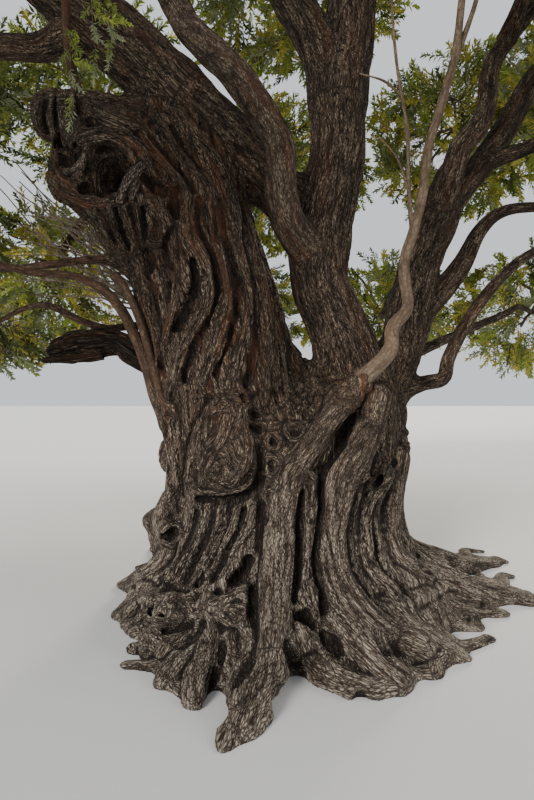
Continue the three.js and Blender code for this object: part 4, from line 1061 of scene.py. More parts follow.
def root_end(root: tuple[float, ...], aside: float, phase: float) -> LimbLine:
    """Returns the line of a thin, winding end of a root, half sunk in the ground.

    Args:
        root: the root.
        aside: how far it turns aside, in degrees.
        phase: where its winding starts.
    """
    _, tip_bearing, reach, _, radius = root
    share = np.linspace(0, 1, 8)
    winding = END_WIND[0] * np.sin(phase + END_WIND[1] * share) * share
    bearing = np.radians(tip_bearing + aside * share + winding)
    out = reach * END_FROM + (END_RUN[0] + END_RUN[1] * reach) * share
    girth = END_GIRTH[0] + radius * (END_GIRTH[1] - END_GIRTH[2] * share)
    rise = -girth * (END_SUNK[0] + END_SUNK[1] * share)
    rows = np.stack([out * np.cos(bearing), out * np.sin(bearing), rise, girth], axis=1)
    return LimbLine(rows, per_station=2)


def ring_row(eye: tuple[float, ...]) -> tuple[float, ...]:
    """Returns the row of a ring round a knot."""
    across, up, wide, high, girth = eye
    turn = np.linspace(0, 2 * math.pi, 9)
    uneven = 1 + 0.16 * np.sin(turn * 2 + across) + 0.1 * np.sin(turn * 3 + up)
    marks = np.stack([across + wide * uneven * np.cos(turn), up + high * uneven * np.sin(turn)], axis=1)
    return (girth, girth * 1.2, girth, 0.4, *marks.ravel())


def wart_rows(crowds: Iterable[tuple[float, ...]]) -> Rows:
    """Returns the rows of crowds of warts, placed at random in each crowd's room."""
    random = np.random.default_rng(SEED)
    rows = []
    for across, up, wide, high, count, girth in crowds:
        for _ in range(int(count)):
            turn, away = random.uniform(0, 2 * math.pi), math.sqrt(random.random())
            mark = np.array((across + wide * away * math.cos(turn), up + high * away * math.sin(turn)))
            size = girth * random.uniform(0.6, 1.2)
            rows.append((size, size, size, size * 0.3, *mark, *(mark + random.normal(0, 1.2, 2))))
    return tuple(rows)


def warts_round(line: LimbLine, until: float, count: int, size: float) -> list["EggShape"]:
    """Returns warts that crowd round the first stretch of a limb.

    Args:
        line: the limb's line.
        until: where the last wart sits, counted in stations.
        count: how many warts.
        size: their half size, in metres.
    """
    random = np.random.default_rng(SEED)
    warts = []
    for t in np.linspace(0.1, until, count):
        turn, k = random.uniform(0, 2 * math.pi), int(np.abs(line.t - t).argmin())
        out = line.across[k] * math.cos(turn) + line.side[k] * math.sin(turn)
        half = size * random.uniform(0.6, 1.15, 3)
        middle = line.point(t)[0] + out * line.radius(t)[0] * 0.8
        warts.append(EggShape((*middle, *half), Bark.WART, Melt.FOOT_WART))
    return warts


def seen_limbs(field: "WoodField", rows: Iterable[tuple[float, ...]]) -> list[LimbLine]:
    """Returns the lines of limbs that are set where they are seen on the wood or on the ground.

    Args:
        field: the wood.
        rows: for each limb, its girths, its depth and its marks as seen from the eye.
    """
    lines = []
    for row in rows:
        marks = np.array(row[4:]).reshape(-1, 2) / 100
        girths = np.interp(np.linspace(0, 2, len(marks)), (0, 1, 2), row[:3]) / 100
        ways = unit(np.stack([marks[:, 0], np.zeros(len(marks)), marks[:, 1]], axis=1) - EYE)
        spots = EYE + ways[:, None] * SIGHT_STEPS[:, None]
        gaps = np.minimum(field.distance(spots.reshape(-1, 3)).reshape(len(marks), -1), spots[..., 2])
        first = np.where((gaps < 0).any(1), (gaps < 0).argmax(1), gaps.argmin(1))
        places = spots[np.arange(len(marks)), first] + ways * row[3] / 100
        lines.append(LimbLine(np.hstack([places, girths[:, None]])))
    return lines


def soft_min(first: np.ndarray, second: np.ndarray, melt: float) -> np.ndarray:
    """Returns the lesser of two distances, rounded off where they differ by less than melt."""
    near = np.maximum(melt - np.abs(first - second), 0) / melt
    return np.minimum(first, second) - near * near * melt / 4


class WoodField:
    """The trunk as a field of distances: shapes that melt together, and hollows carved out of them."""

    BLEND = 0.05
    OUTSIDE = 9.0
    BATCH, BARK_BATCH = 120000, 30000

    def __init__(
        self,
        shapes: list[LimbShape | EggShape],
        carved: Iterable[LimbShape | EggShape] = (),
        kept: Iterable[LimbShape | EggShape] = (),
    ) -> None:
        """Takes the shapes in the order in which they melt together.

        Args:
            shapes: the wood.
            carved: what is taken out of it.
            kept: wood that stands in and by what is taken out.
        """
        self.grown, self.carved, self.kept = shapes, carved, kept
        self.shapes = [*shapes, *kept]

    @staticmethod
    def _within(shape: LimbShape | EggShape, points: np.ndarray) -> np.ndarray:
        """Returns the numbers of the points in the shape's box."""
        low, high = shape.box()
        return np.flatnonzero(np.all((points > low) & (points < high), axis=1))

    def distance(self, points: np.ndarray) -> np.ndarray:
        """Returns distances to the wood's surface, less than zero inside."""
        parts = np.array_split(points, max(1, len(points) // self.BATCH))
        with ThreadPoolExecutor(4) as pool:
            return np.concatenate(list(pool.map(self._distance, parts)))

    def _distance(self, points: np.ndarray) -> np.ndarray:
        """Works out the distances of one batch of points."""
        total = np.full(len(points), self.OUTSIDE)
        for sign, shapes in ((1, self.grown), (-1, self.carved), (1, self.kept)):
            for shape in shapes:
                rows = self._within(shape, points)
                if len(rows):
                    gap = shape.distance(points[rows])
                    total[rows] = sign * soft_min(sign * total[rows], gap, shape.melt)
        return total

    def bark(self, points: np.ndarray) -> tuple[np.ndarray, ...]:
        """Works out the bark at points of the surface.

        Args:
            points: places on the surface, three to a row.

        Returns:
            How far each point moves out, how deep in a groove it lies, which sets the painted shade there,
            its place along the grain, and its looks.
        """
        parts = np.array_split(points, max(1, len(points) // self.BARK_BATCH))
        with ThreadPoolExecutor(4) as pool:
            rows = list(pool.map(self._bark, parts))
        return tuple(np.concatenate([row[k] for row in rows]) for k in range(4))

    def _bark(self, points: np.ndarray) -> tuple[np.ndarray, ...]:
        """Works out the bark of one batch of points, mixed between the two nearest shapes."""
        count = len(points)
        gaps = np.full((2, count), self.OUTSIDE)
        owners = np.zeros((2, count), int)
        for number, shape in enumerate(self.shapes):
            rows = self._within(shape, points)
            if not len(rows):
                continue
            gap = shape.distance(points[rows])
            first = gap < gaps[0, rows]
            second = ~first & (gap < gaps[1, rows])
            ahead = rows[first]
            gaps[1, ahead], owners[1, ahead] = gaps[0, ahead], owners[0, ahead]
            gaps[0, ahead], owners[0, ahead] = gap[first], number
            gaps[1, rows[second]], owners[1, rows[second]] = gap[second], number
        share = 0.5 - 0.5 * np.clip((gaps[1] - gaps[0]) / self.BLEND, 0, 1)
        moved, groove, looks, grain = (np.zeros(size) for size in (count, count, (count, 3), (count, 3)))
        for place, weight in ((0, 1 - share), (1, share)):
            for number in np.unique(owners[place]):
                rows = np.flatnonzero((owners[place] == number) & (weight > 1e-3))
                if not len(rows):
                    continue
                shape = self.shapes[number]
                places, girth = shape.grain(points[rows])
                out, deep = shape.bark.value.at(places, girth)
                moved[rows] += out * weight[rows]
                groove[rows] += deep * weight[rows]
                looks[rows] += np.array(shape.bark.value.looks) * weight[rows, None]
                if place == 0:
                    grain[rows] = places
        return moved, groove, grain, looks


def point_mesh(name: str, points: np.ndarray) -> bpy.types.Mesh:
    """Makes a mesh of points alone."""
    mesh = bpy.data.meshes.new(name)
    mesh.vertices.add(len(points))
    mesh.vertices.foreach_set("co", np.ascontiguousarray(points, np.float32).ravel())
    return mesh


def mesh_from(
    name: str, points: np.ndarray, faces: Iterable[np.ndarray], smooth: bool = True
) -> bpy.types.Mesh:
    """Makes a mesh from points and from arrays of faces, each array with its own number of corners."""
    mesh = point_mesh(name, points)
    faces = [array for array in faces if len(array)]
    sizes = np.concatenate([np.full(len(array), array.shape[1]) for array in faces])
    corners = np.concatenate([array.ravel() for array in faces])
    mesh.loops.add(len(corners))
    mesh.loops.foreach_set("vertex_index", corners.astype(np.int32))
    mesh.polygons.add(len(sizes))
    mesh.polygons.foreach_set("loop_start", np.concatenate([[0], np.cumsum(sizes)[:-1]]).astype(np.int32))
    mesh.polygons.foreach_set("use_smooth", np.full(len(sizes), smooth))
    mesh.update(calc_edges=True)
    return mesh


def set_attribute(mesh: bpy.types.Mesh, name: str, values: np.ndarray) -> None:
    """Stores one number or one vector at each point of a mesh."""
    vector = values.ndim == 2
    attribute = mesh.attributes.new(name, "FLOAT_VECTOR" if vector else "FLOAT", "POINT")
    flat = np.ascontiguousarray(values, np.float32).ravel()
    attribute.data.foreach_set("vector" if vector else "value", flat)


def add_piece(
    mesh: bpy.types.Mesh, material: bpy.types.Material | None, nodes: Iterable[str]
) -> bpy.types.Object:
    """Puts a finished mesh into the scene as a piece of the tree.

    Args:
        mesh: the mesh, in its place, whose name the piece takes.
        material: the finish, or None where the mesh has its own already.
        nodes: the solids that the piece stands for.

    Returns:
        The piece's object.
    """
    piece = bpy.data.objects.new(mesh.name, mesh)
    bpy.context.scene.collection.objects.link(piece)
    if material:
        mesh.materials.clear()
        mesh.materials.append(material)
    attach(piece, "root")
    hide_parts(*nodes)
    triangles = sum(len(polygon.vertices) - 2 for polygon in mesh.polygons)
    LOG.info("%s: %d triangles", mesh.name, triangles)
    return piece


class Expr:
    """A number in a shader tree, on which sums can be written. Each sum adds its Math node."""

    def __init__(self, shade: "Shade", socket: bpy.types.NodeSocket) -> None:
        """Wraps a socket of a tree."""
        self.shade = shade
        self.socket = socket

    def _math(self, operation: str, first: "Expr | float", second: "Expr | float") -> "Expr":
        """Returns the outcome of a Math node."""
        node = self.shade.node("ShaderNodeMath", {"operation": operation}, {0: first, 1: second})
        return Expr(self.shade, node.outputs[0])

    def __add__(self, other: "Expr | float") -> "Expr":
        """Returns the sum."""
        return self._math("ADD", self, other)

    __radd__ = __add__

    def __sub__(self, other: "Expr | float") -> "Expr":
        """Returns the difference."""
        return self._math("SUBTRACT", self, other)

    def __rsub__(self, other: "Expr | float") -> "Expr":
        """Returns the difference the other way round."""
        return self._math("SUBTRACT", other, self)

    def __mul__(self, other: "Expr | float") -> "Expr":
        """Returns the product."""
        return self._math("MULTIPLY", self, other)

    __rmul__ = __mul__

    def size(self) -> "Expr":
        """Returns the number without its sign."""
        return self._math("ABSOLUTE", self, 0.0)

    def ramp(self, low: float, high: float) -> "Expr":
        """Returns 0 below low and 1 above high, with a soft ramp between."""
        settings = {"interpolation_type": "SMOOTHSTEP"}
        sockets = {"Value": self, "From Min": low, "From Max": high}
        return Expr(self.shade, self.shade.node("ShaderNodeMapRange", settings, sockets).outputs[0])


class NodeTree:
    """A tree of nodes, to which one method adds every node."""

    def __init__(self, tree: bpy.types.NodeTree) -> None:
        """Takes the tree."""
        self.tree = tree

    def node(
        self,
        kind: str,
        settings: dict[str, object] | None = None,
        sockets: dict[str | int, object] | None = None,
    ) -> bpy.types.Node:
        """Adds a node.

        Args:
            kind: the node's type.
            settings: its own settings, which are set first.
            sockets: values or links for its sockets, by name or number.

        Returns:
            The node.
        """
        node = self.tree.nodes.new(kind)
        for name, value in (settings or {}).items():
            setattr(node, name, value)
        for key, value in (sockets or {}).items():
            self.put(node.inputs[key], value)
        return node

    def put(self, socket: bpy.types.NodeSocket, value: object) -> None:
        """Links a value to a socket, or sets it there."""
        value = value.socket if isinstance(value, Expr) else value
        if isinstance(value, bpy.types.NodeSocket):
            self.tree.links.new(value, socket)
        else:
            socket.default_value = value


class Shade(NodeTree):
    """A material's tree of nodes."""

    def __init__(self, name: str) -> None:
        """Makes the material with its Principled BSDF."""
        self.material = bpy.data.materials.new(name)
        self.material.use_nodes = True
        super().__init__(self.material.node_tree)
        self.principled = self.tree.nodes["Principled BSDF"]

    def feed(self, **values: object) -> None:
        """Sets the Principled BSDF's sockets. An underscore in a name stands for a space."""
        for name, value in values.items():
            self.put(self.principled.inputs[name.replace("_", " ")], value)

    def attribute(self, name: str) -> bpy.types.Node:
        """Returns a node that reads a mesh's attribute."""
        return self.node("ShaderNodeAttribute", {"attribute_name": name})

    def stretched(self, vector: bpy.types.NodeSocket, across: float, along: float) -> bpy.types.NodeSocket:
        """Returns the vector measured in widths across and lengths along."""
        scale = (1 / across, 1 / across, 1 / along)
        return self.node("ShaderNodeVectorMath", {"operation": "MULTIPLY"}, {0: vector, 1: scale}).outputs[0]

    def noise(self, vector: bpy.types.NodeSocket, detail: float = 2.0) -> Expr:
        """Returns smooth noise from 0 to 1, one unit wide."""
        node = self.node("ShaderNodeTexNoise", None, {"Vector": vector, "Scale": 1.0, "Detail": detail})
        return Expr(self, node.outputs[0])

    def cracks(self, vector: bpy.types.NodeSocket) -> Expr:
        """Returns how far the place is from the edges of random plates, one unit wide."""
        settings = {"feature": "DISTANCE_TO_EDGE"}
        node = self.node("ShaderNodeTexVoronoi", settings, {"Vector": vector, "Scale": 1.0})
        return Expr(self, node.outputs[0])

    def mix(self, factor: Expr | float, first: object, second: object) -> bpy.types.NodeSocket:
        """Returns a colour mixed from two."""
        return self.node("ShaderNodeMix", {"data_type": "RGBA"}, {0: factor, 6: first, 7: second}).outputs[2]

    def bump(self, height: Expr, strength: float = 1.0) -> bpy.types.NodeSocket:
        """Returns the normal of a surface raised by a height in metres."""
        sockets = {"Strength": strength, "Distance": 1.0, "Height": height}
        return self.node("ShaderNodeBump", None, sockets).outputs[0]

    def parts(self, vector: bpy.types.NodeSocket) -> list[Expr]:
        """Returns a vector's three numbers."""
        node = self.node("ShaderNodeSeparateXYZ", None, {0: vector})
        return [Expr(self, socket) for socket in node.outputs]


def shade_of(code: str) -> tuple[float, float, float, float]:
    """Returns the colour of a six-digit code as the shader's own numbers."""
    parts = [int(code[k : k + 2], 16) / 255 for k in (0, 2, 4)]
    return (*((part / 12.92 if part <= 0.04045 else ((part + 0.055) / 1.055) ** 2.4) for part in parts), 1.0)


@dataclass(frozen=True)
class BarkFinish:
    """The colours and the finest relief of one kind of bark. Sizes are across and along it, in metres."""

    name: str
    # The near-black colour painted into grooves, furrows and cracks as shade.
    groove: str
    body: str
    # The colour of the brightest places: partly a painted highlight on the raised bark, partly its ridges'
    # paler tone.
    ridge: str
    stain: str
    stain_share: float
    weathered: str
    crack: tuple[float, float] = (0.012, 0.045)
    hair: tuple[float, float] = (0.007, 0.03)
    depth: float = 0.005
    roughness: float = 0.82
    # How much the cracks between plates are painted dark as shade.
    crack_shade: float = 0.55
    by_place: bool = False
    wave: tuple[float, float] = (0.08, 0.03)
    furrow: tuple[float, float] = (0.022, 0.25)
    furrow_depth: float = 0.012
    patch: tuple[float, float] = (0.4, 1.1)
    streak: tuple[float, float] = (0.07, 0.7)
    fibre: tuple[float, float] = (0.009, 0.07)

    def material(self) -> bpy.types.Material:
        """Returns the bark's material."""
        shade = Shade(self.name)
        place = shade.node("ShaderNodeTexCoord").outputs["Object"]
        grain = place if self.by_place else shade.attribute("grain").outputs["Vector"]
        # The mesh's groove values darken the grooves and hollows as painted shade.
        groove = Expr(shade, shade.attribute("groove").outputs["Fac"])
        furrowed, rust, worn = shade.parts(shade.attribute("looks").outputs["Vector"])
        height = shade.parts(place)[2]
        waving = {"Vector": grain, "Scale": 1 / self.wave[0], "Detail": 1.0}
        wave = shade.node("ShaderNodeTexNoise", None, waving).outputs["Color"]
        pushed = {0: wave, 1: (self.wave[1],) * 3, 2: grain}
        grain = shade.node("ShaderNodeVectorMath", {"operation": "MULTIPLY_ADD"}, pushed).outputs[0]
        patches = shade.noise(shade.stretched(grain, *self.patch))
        streaks = shade.noise(shade.stretched(grain, *self.streak), 4)
        fibres = shade.noise(shade.stretched(grain, *self.fibre), 4)
        furrow = (shade.noise(shade.stretched(grain, *self.furrow), 3) - 0.5).size().ramp(0.0, 0.055)
        furrow = 1 - (1 - furrow) * furrowed
        plates = shade.cracks(shade.stretched(grain, *self.crack)).ramp(0.0, 0.25)
        hairs = shade.cracks(shade.stretched(grain, *self.hair)).ramp(0.0, 0.25)
        # The cracks between plates and hairs are painted dark as shade.
        fine = 0.4 * self.crack_shade
        painted_crack_shade = (1 - self.crack_shade + self.crack_shade * plates) * (1 - fine + fine * hairs)
        # Painted light: grooves, furrows and cracks are darkened as shade, and the fibres add the wood's own
        # tone.
        painted_light_and_fibres = (1 - 0.8 * groove) * (0.2 + 0.8 * furrow) * painted_crack_shade * (0.5 + fibres)
        colour = shade.mix(painted_light_and_fibres.ramp(0.05, 0.5), shade_of(self.groove), shade_of(self.body))
        # Where the painted light is high, the ridge colour comes in by patches: partly painted highlight,
        # partly the ridges' paler tone.
        colour = shade.mix(painted_light_and_fibres.ramp(0.4, 1.05) * (0.35 + 0.8 * patches), colour, shade_of(self.ridge))
        stained = streaks.ramp(0.42, 0.66) * patches.ramp(0.36, 0.6) * height.ramp(0.9, 2.2)
        stained = stained * rust * self.stain_share + (rust - 1).ramp(0.0, 1.0) * streaks.ramp(0.3, 0.6)
        colour = shade.mix(stained, colour, shade_of(self.stain))
        # The weathered grey, stronger towards the bottom and on worn shapes, is laid only where the painted
        # light is high, so it is partly a painted highlight.
        grey = (1 - height.ramp(0.25, 1.6)) * 0.65 + worn
        colour = shade.mix(grey * painted_light_and_fibres.ramp(0.2, 0.95), colour, shade_of(self.weathered))
        raised = (plates + 0.35 * hairs + 0.6 * fibres) * self.depth + furrow * self.furrow_depth
        roughness = self.roughness + 0.15 * fibres
        shade.feed(Base_Color=colour, Roughness=roughness, Specular_IOR_Level=0.25, Normal=shade.bump(raised))
        return shade.material


OLD_BARK = BarkFinish("old_bark", "130d09", "4e4136", "a8967f", "6e462e", 0.8, "989084")
PALE_SKIN = BarkFinish(
    "pale_skin", "33291f", "655546", "94826b", "6f4d37", 0.5, "8f8373",
    crack=(0.04, 0.05), hair=(0.012, 0.012), depth=0.001, roughness=0.7, crack_shade=0.3,
)
YOUNG_SKIN = BarkFinish(
    "young_skin", "241b14", "49382c", "786350", "6b432b", 0.6, "7c7266",
    crack=(0.02, 0.05), hair=(0.009, 0.02), depth=0.002, roughness=0.75, crack_shade=0.45,
)
TORN_WOOD = BarkFinish(
    "torn_wood", "0f0c0a", "33281f", "6b5d50", "6b3f22", 0.6, "5a5047",
    crack=(0.014, 0.2), hair=(0.006, 0.09), depth=0.006, roughness=0.9,
)
TWIG_SKIN = BarkFinish(
    "twig_skin", "2c241d", "5c4f42", "8b7f71", "6b4a33", 0.3, "7c7266",
    crack=(0.03, 0.06), hair=(0.01, 0.02), depth=0.0008, by_place=True,
)


@dataclass(frozen=True)
class Block:
    """The room that one closed piece of the trunk fills, between two corners."""

    low: tuple[float, float, float]
    high: tuple[float, float, float]
    voxel: float


class Trunk:
    """The trunk with its roots, ribs, burls, stubs and the collars of its boughs."""

    # Voxels to a coarse cell, voxels kept round the wood, and coarse cells by the surface that are fine.
    COARSE, GRID_MARGIN, NEAR_CELLS = 3, 6, 1.8
    # How sharply the wood curves in, per metre, where a carved groove starts and where it is full. There
    # the bark relief is eased by up to half, and the wood is painted dark as shade.
    CARVED = (-2.0, -22.0)
    # How deep in the wood bark relief starts and where it is full, its share at the ground, and up to where.
    INNER = (-0.2, -0.03)
    EASED, GROUND_EASE = 0.25, 0.14
    # In voxels: how near a cut wall and how deep in the wood a point of the wall is, and how near the ground.
    WALL_NEAR, WALL_DEEP, GROUND_NEAR = 0.45, 0.6, 0.6
    LEAST_RIM = 12
    # The radius from which a ridge has a leg's bark, and how collars and the dead stub's foot are scaled.
    LEG_GIRTH = 0.075
    COLLAR_SCALES = (1.03, 0.9)
    STUB_SCALES = (1.2, 0.9)
    # Bearings between which roots have thin ends, and how far those of roots and rootlets turn.
    ENDS_SEEN = (-170, 40)
    ROOT_FORK, ROOTLET_TURN = (-7, 8), (3,)
    FINE, MIDDLING, ROUGH = 0.0125, 0.0155, 0.019
    STEM_BARK = {"foot": Bark.ROOT, "centre": Bark.BOUGH, "right": Bark.BOUGH, "bridge": Bark.BOUGH}
    BLOCKS = {
        "trunk_foot_front": Block((-3, -3, 0), (3, -0.4, 0.9), FINE),
        "trunk_foot_back": Block((-3, -0.43, 0), (3, 3, 0.9), ROUGH),
        "trunk_body_front": Block((-3, -3, 0.87), (3, 0.1, 2.4), FINE),
        "trunk_body_back": Block((-3, 0.07, 0.87), (3, 3, 2.4), ROUGH),
        "trunk_left_stem_front": Block((-3, -3, 2.37), (-0.08, 0.1, 5.5), FINE),
        "trunk_left_stem_back": Block((-3, 0.07, 2.37), (-0.08, 3, 5.5), ROUGH),
        "trunk_right_stems": Block((-0.11, -3, 2.37), (3, 3, 5.5), MIDDLING),
    }

    def __init__(self, lines: dict[str, LimbLine], material: bpy.types.Material) -> None:
        """Gathers the trunk's shapes.

        Args:
            lines: the boughs' lines by name.
            material: the bark.
        """
        self.material = material
        shapes: list[LimbShape | EggShape] = []
        for name, stations in STEMS.items():
            bark = self.STEM_BARK.get(name, Bark.OLD)
            shapes.append(LimbShape(LimbLine(stations), bark, Melt.STEM, splayed=name == "foot"))
        shapes += [LimbShape(rib_line(rib), Bark.OLD, Melt.RIB) for rib in RIBS.values()]
        shapes += [LimbShape(root_line(root), Bark.ROOT, Melt.ROOT) for root in ROOTS]
        shapes += [LimbShape(root_line(root), Bark.ROOT, Melt.ROOTLET) for root in ROOTLETS]
        for number, root in enumerate((*ROOTS, *ROOTLETS)):
            if number and self.ENDS_SEEN[0] < root[1] < self.ENDS_SEEN[1]:
                for aside in self.ROOT_FORK if number < len(ROOTS) else self.ROOTLET_TURN:
                    line = root_end(root, aside, number * 1.7 + aside)
                    shapes.append(LimbShape(line, Bark.ROOT, Melt.ROOT_END))
        for number, burl in enumerate(BURLS):
            shapes.append(EggShape(burl, Bark.BURL, Melt.BURL, ringed=number == 0))
        shapes += [EggShape(knot, Bark.BURL, Melt.KNOT) for knot in KNOTS]
        shapes.append(LimbShape(LimbLine(CUT_STUB), Bark.BURL, Melt.CUT_STUB))
        dead = LimbLine(DEAD_STUB).shortened(DEAD_STUB_START, self.STUB_SCALES)
        shapes.append(LimbShape(dead, Bark.BOUGH, Melt.COLLAR))
        for name, plan in BOUGHS.items():
            if plan.on == "trunk":
                collar = lines[name].shortened(plan.collar, self.COLLAR_SCALES)
                shapes.append(LimbShape(collar, plan.bark(), Melt.COLLAR))
        smooth = WoodField(shapes)
        ridges = seen_limbs(smooth, placed(RIDGES))
        legs = [line.radii.max() > self.LEG_GIRTH for line in ridges]
        shapes = shapes + [
            LimbShape(line, Bark.LEG if leg else Bark.FIBRE, Melt.RIDGE) for line, leg in zip(ridges, legs)
        ]
        shapes += [LimbShape(line, Bark.ROOT, Melt.RIDGE) for line in seen_limbs(smooth, placed(TWISTED))]
        ridged = WoodField(shapes)
        rings = map(ring_row, map(LOWER.patch, EYES))
        warts, knuckle = (wart_rows(map(LOWER.patch, crowds)) for crowds in (WARTS, KNUCKLE))
        small = [LimbShape(line, Bark.FIBRE, Melt.RING) for line in seen_limbs(ridged, rings)]
        small += [LimbShape(line, Bark.BURL, Melt.WART) for line in seen_limbs(ridged, warts)]
        small += [LimbShape(line, Bark.WART, Melt.KNUCKLE) for line in seen_limbs(ridged, knuckle)]
        small += warts_round(lines["stem_pale"], *PALE_FOOT)
        carved: list[LimbShape | EggShape] = [EggShape(hollow, Bark.BURL, Melt.HOLLOW) for hollow in HOLLOWS]
        carved += [LimbShape(line, Bark.OLD, Melt.CREVICE) for line in seen_limbs(ridged, placed(CREVICES))]
        splinters = [
            LimbShape(line, Bark.TORN, Melt.SPLINTER) for line in seen_limbs(ridged, placed(SPLINTERS))
        ]
        self.field = WoodField(shapes + small, carved, splinters)

    def build(self) -> None:
        """Makes the trunk's pieces."""
        for name, block in self.BLOCKS.items():
            mesh = self._mesh(name, block)
            add_piece(mesh, self.material, ["trunk"])

    def _grid(self, block: Block) -> tuple[np.ndarray, np.ndarray]:
        """Works out the field in a block.

        Args:
            block: the room to fill.

        Returns:
            The distances at the points of a grid, fine near the surface only, and the grid's lowest index.
        """
        shapes_low = np.min([shape.box()[0] for shape in self.field.shapes], axis=0)
        shapes_high = np.max([shape.box()[1] for shape in self.field.shapes], axis=0)
        low = np.floor(np.maximum(block.low, shapes_low) / block.voxel).astype(int) - self.GRID_MARGIN
        high = np.ceil(np.minimum(block.high, shapes_high) / block.voxel).astype(int) + self.GRID_MARGIN
        cells = -(-(high - low) // self.COARSE)
        corners = np.stack(np.meshgrid(*[np.arange(n + 1) for n in cells], indexing="ij"), axis=-1)
        places = (corners.reshape(-1, 3) * self.COARSE + low) * block.voxel
        coarse = self.field.distance(places).reshape(corners.shape[:3])
        near = np.zeros(tuple(cells), bool)
        for corner in np.ndindex(2, 2, 2):
            part = tuple(slice(k, k + n) for k, n in zip(corner, cells))
            near |= np.abs(coarse[part]) < self.NEAR_CELLS * self.COARSE * block.voxel
        blocks = (self.COARSE,) * 3
        fine = np.kron(coarse[:-1, :-1, :-1], np.ones(blocks)).astype(np.float32)
        rows = np.argwhere(np.kron(near, np.ones(blocks, bool)))
        fine[tuple(rows.T)] = self.field.distance((rows + low) * block.voxel)
        return fine, low

    def _sampled(self, grid: np.ndarray, places: np.ndarray) -> np.ndarray:
        """Returns the grid's values at places given in grid steps."""
        places = np.clip(places, 0, np.array(grid.shape) - 1.001)
        base = np.floor(places).astype(int)
        share = places - base
        total = np.zeros(len(places))
        for corner in np.ndindex(2, 2, 2):
            weight = np.prod(np.where(corner, share, 1 - share), axis=1)
            total += weight * grid[tuple((base + corner).T)]
        return total

    def _mesh(self, name: str, block: Block) -> bpy.types.Mesh:
        """Returns one block's closed mesh, with its bark."""
        grid, low = self._grid(block)
        cut = grid.copy()
        for axis in range(3):
            places = (np.arange(grid.shape[axis]) + low[axis]) * block.voxel
            wall = np.maximum(block.low[axis] - places, places - block.high[axis]).astype(np.float32)
            cut = np.maximum(cut, wall.reshape([-1 if k == axis else 1 for k in range(3)]))
        volume = openvdb.FloatGrid(1.0)
        volume.copyFromArray(np.clip(cut, -4 * block.voxel, 4 * block.voxel))
        steps, quads = volume.convertToQuads()
        points = (steps + low) * block.voxel
        depth = self._sampled(grid, steps)
        gradient = np.zeros_like(points)
        curving = -6 * depth
        for axis in range(3):
            step = np.eye(3)[axis] * 2
            ahead, behind = self._sampled(grid, steps + step), self._sampled(grid, steps - step)
            gradient[:, axis] = ahead - behind
            curving += ahead + behind
        gradient /= np.maximum(np.linalg.norm(gradient, axis=1, keepdims=True), 1e-6)
        curving /= (2 * block.voxel) ** 2
        moved, groove, grain, looks = self.field.bark(points)
        carved = smooth_step(*self.CARVED, curving)
        inner = smooth_step(*self.INNER, depth)
        inner *= self.EASED + (1 - self.EASED) * smooth_step(0, self.GROUND_EASE, points[:, 2])
        moved_points = points + gradient * (moved * inner * (1 - 0.5 * carved))[:, None]
        walls = self._walls(points, depth, block)
        for axis, place, rows in walls:
            moved_points[rows, axis] = place
        height = moved_points[:, 2]
        moved_points[:, 2] = np.where(height < self.GROUND_NEAR * block.voxel, 0, height)
        hidden = np.zeros(len(quads), bool)
        for _, _, rows in walls:
            hidden |= rows[quads].all(axis=1)
        used, numbers = np.unique(quads[~hidden], return_inverse=True)
        mesh = mesh_from(name, moved_points[used], [numbers.reshape(-1, 4)])
        set_attribute(mesh, "grain", grain[used])
        # Places that curve in sharply are painted nearly as dark as the deepest grooves, as shade.
        set_attribute(mesh, "groove", np.maximum(groove, carved * 0.9)[used])
        set_attribute(mesh, "looks", looks[used])
        self._close(mesh)
        return mesh

    def _walls(
        self, points: np.ndarray, depth: np.ndarray, block: Block
    ) -> list[tuple[int, float, np.ndarray]]:
        """Returns each cut wall's axis, its place, and which points lie on it inside the wood."""
        inside = depth < -self.WALL_DEEP * block.voxel
        walls = []
        for corner in (block.low, block.high):
            for axis, place in enumerate(corner):
                on_wall = np.abs(points[:, axis] - place) < self.WALL_NEAR * block.voxel
                walls.append((axis, place, on_wall & inside))
        return walls

    def _close(self, mesh: bpy.types.Mesh) -> None:
        """Closes the cut walls with few faces."""
        shape = bmesh.new()
        shape.from_mesh(mesh)
        for axis in range(3):
            rims: dict[float, list] = {}
            for edge in shape.edges:
                first, second = (vertex.co[axis] for vertex in edge.verts)
                if edge.is_boundary and abs(first - second) < 1e-5:
                    rims.setdefault(round(first, 3), []).append(edge)
            for edges in rims.values():
                if len(edges) > self.LEAST_RIM:
                    normal = Vector([1.0 if k == axis else 0.0 for k in range(3)])
                    bmesh.ops.triangle_fill(
                        shape, edges=edges, use_beauty=False, use_dissolve=False, normal=normal
                    )
        left = [edge for edge in shape.edges if edge.is_boundary]
        if left:
            bmesh.ops.holes_fill(shape, edges=left, sides=0)
        bmesh.ops.triangulate(shape, faces=[face for face in shape.faces if len(face.verts) > 4])
        bmesh.ops.recalc_face_normals(shape, faces=shape.faces)
        open_edges = sum(not edge.is_manifold for edge in shape.edges)
        shape.to_mesh(mesh)
        shape.free()
        LOG.info("%s: %d edges left open", mesh.name, open_edges)


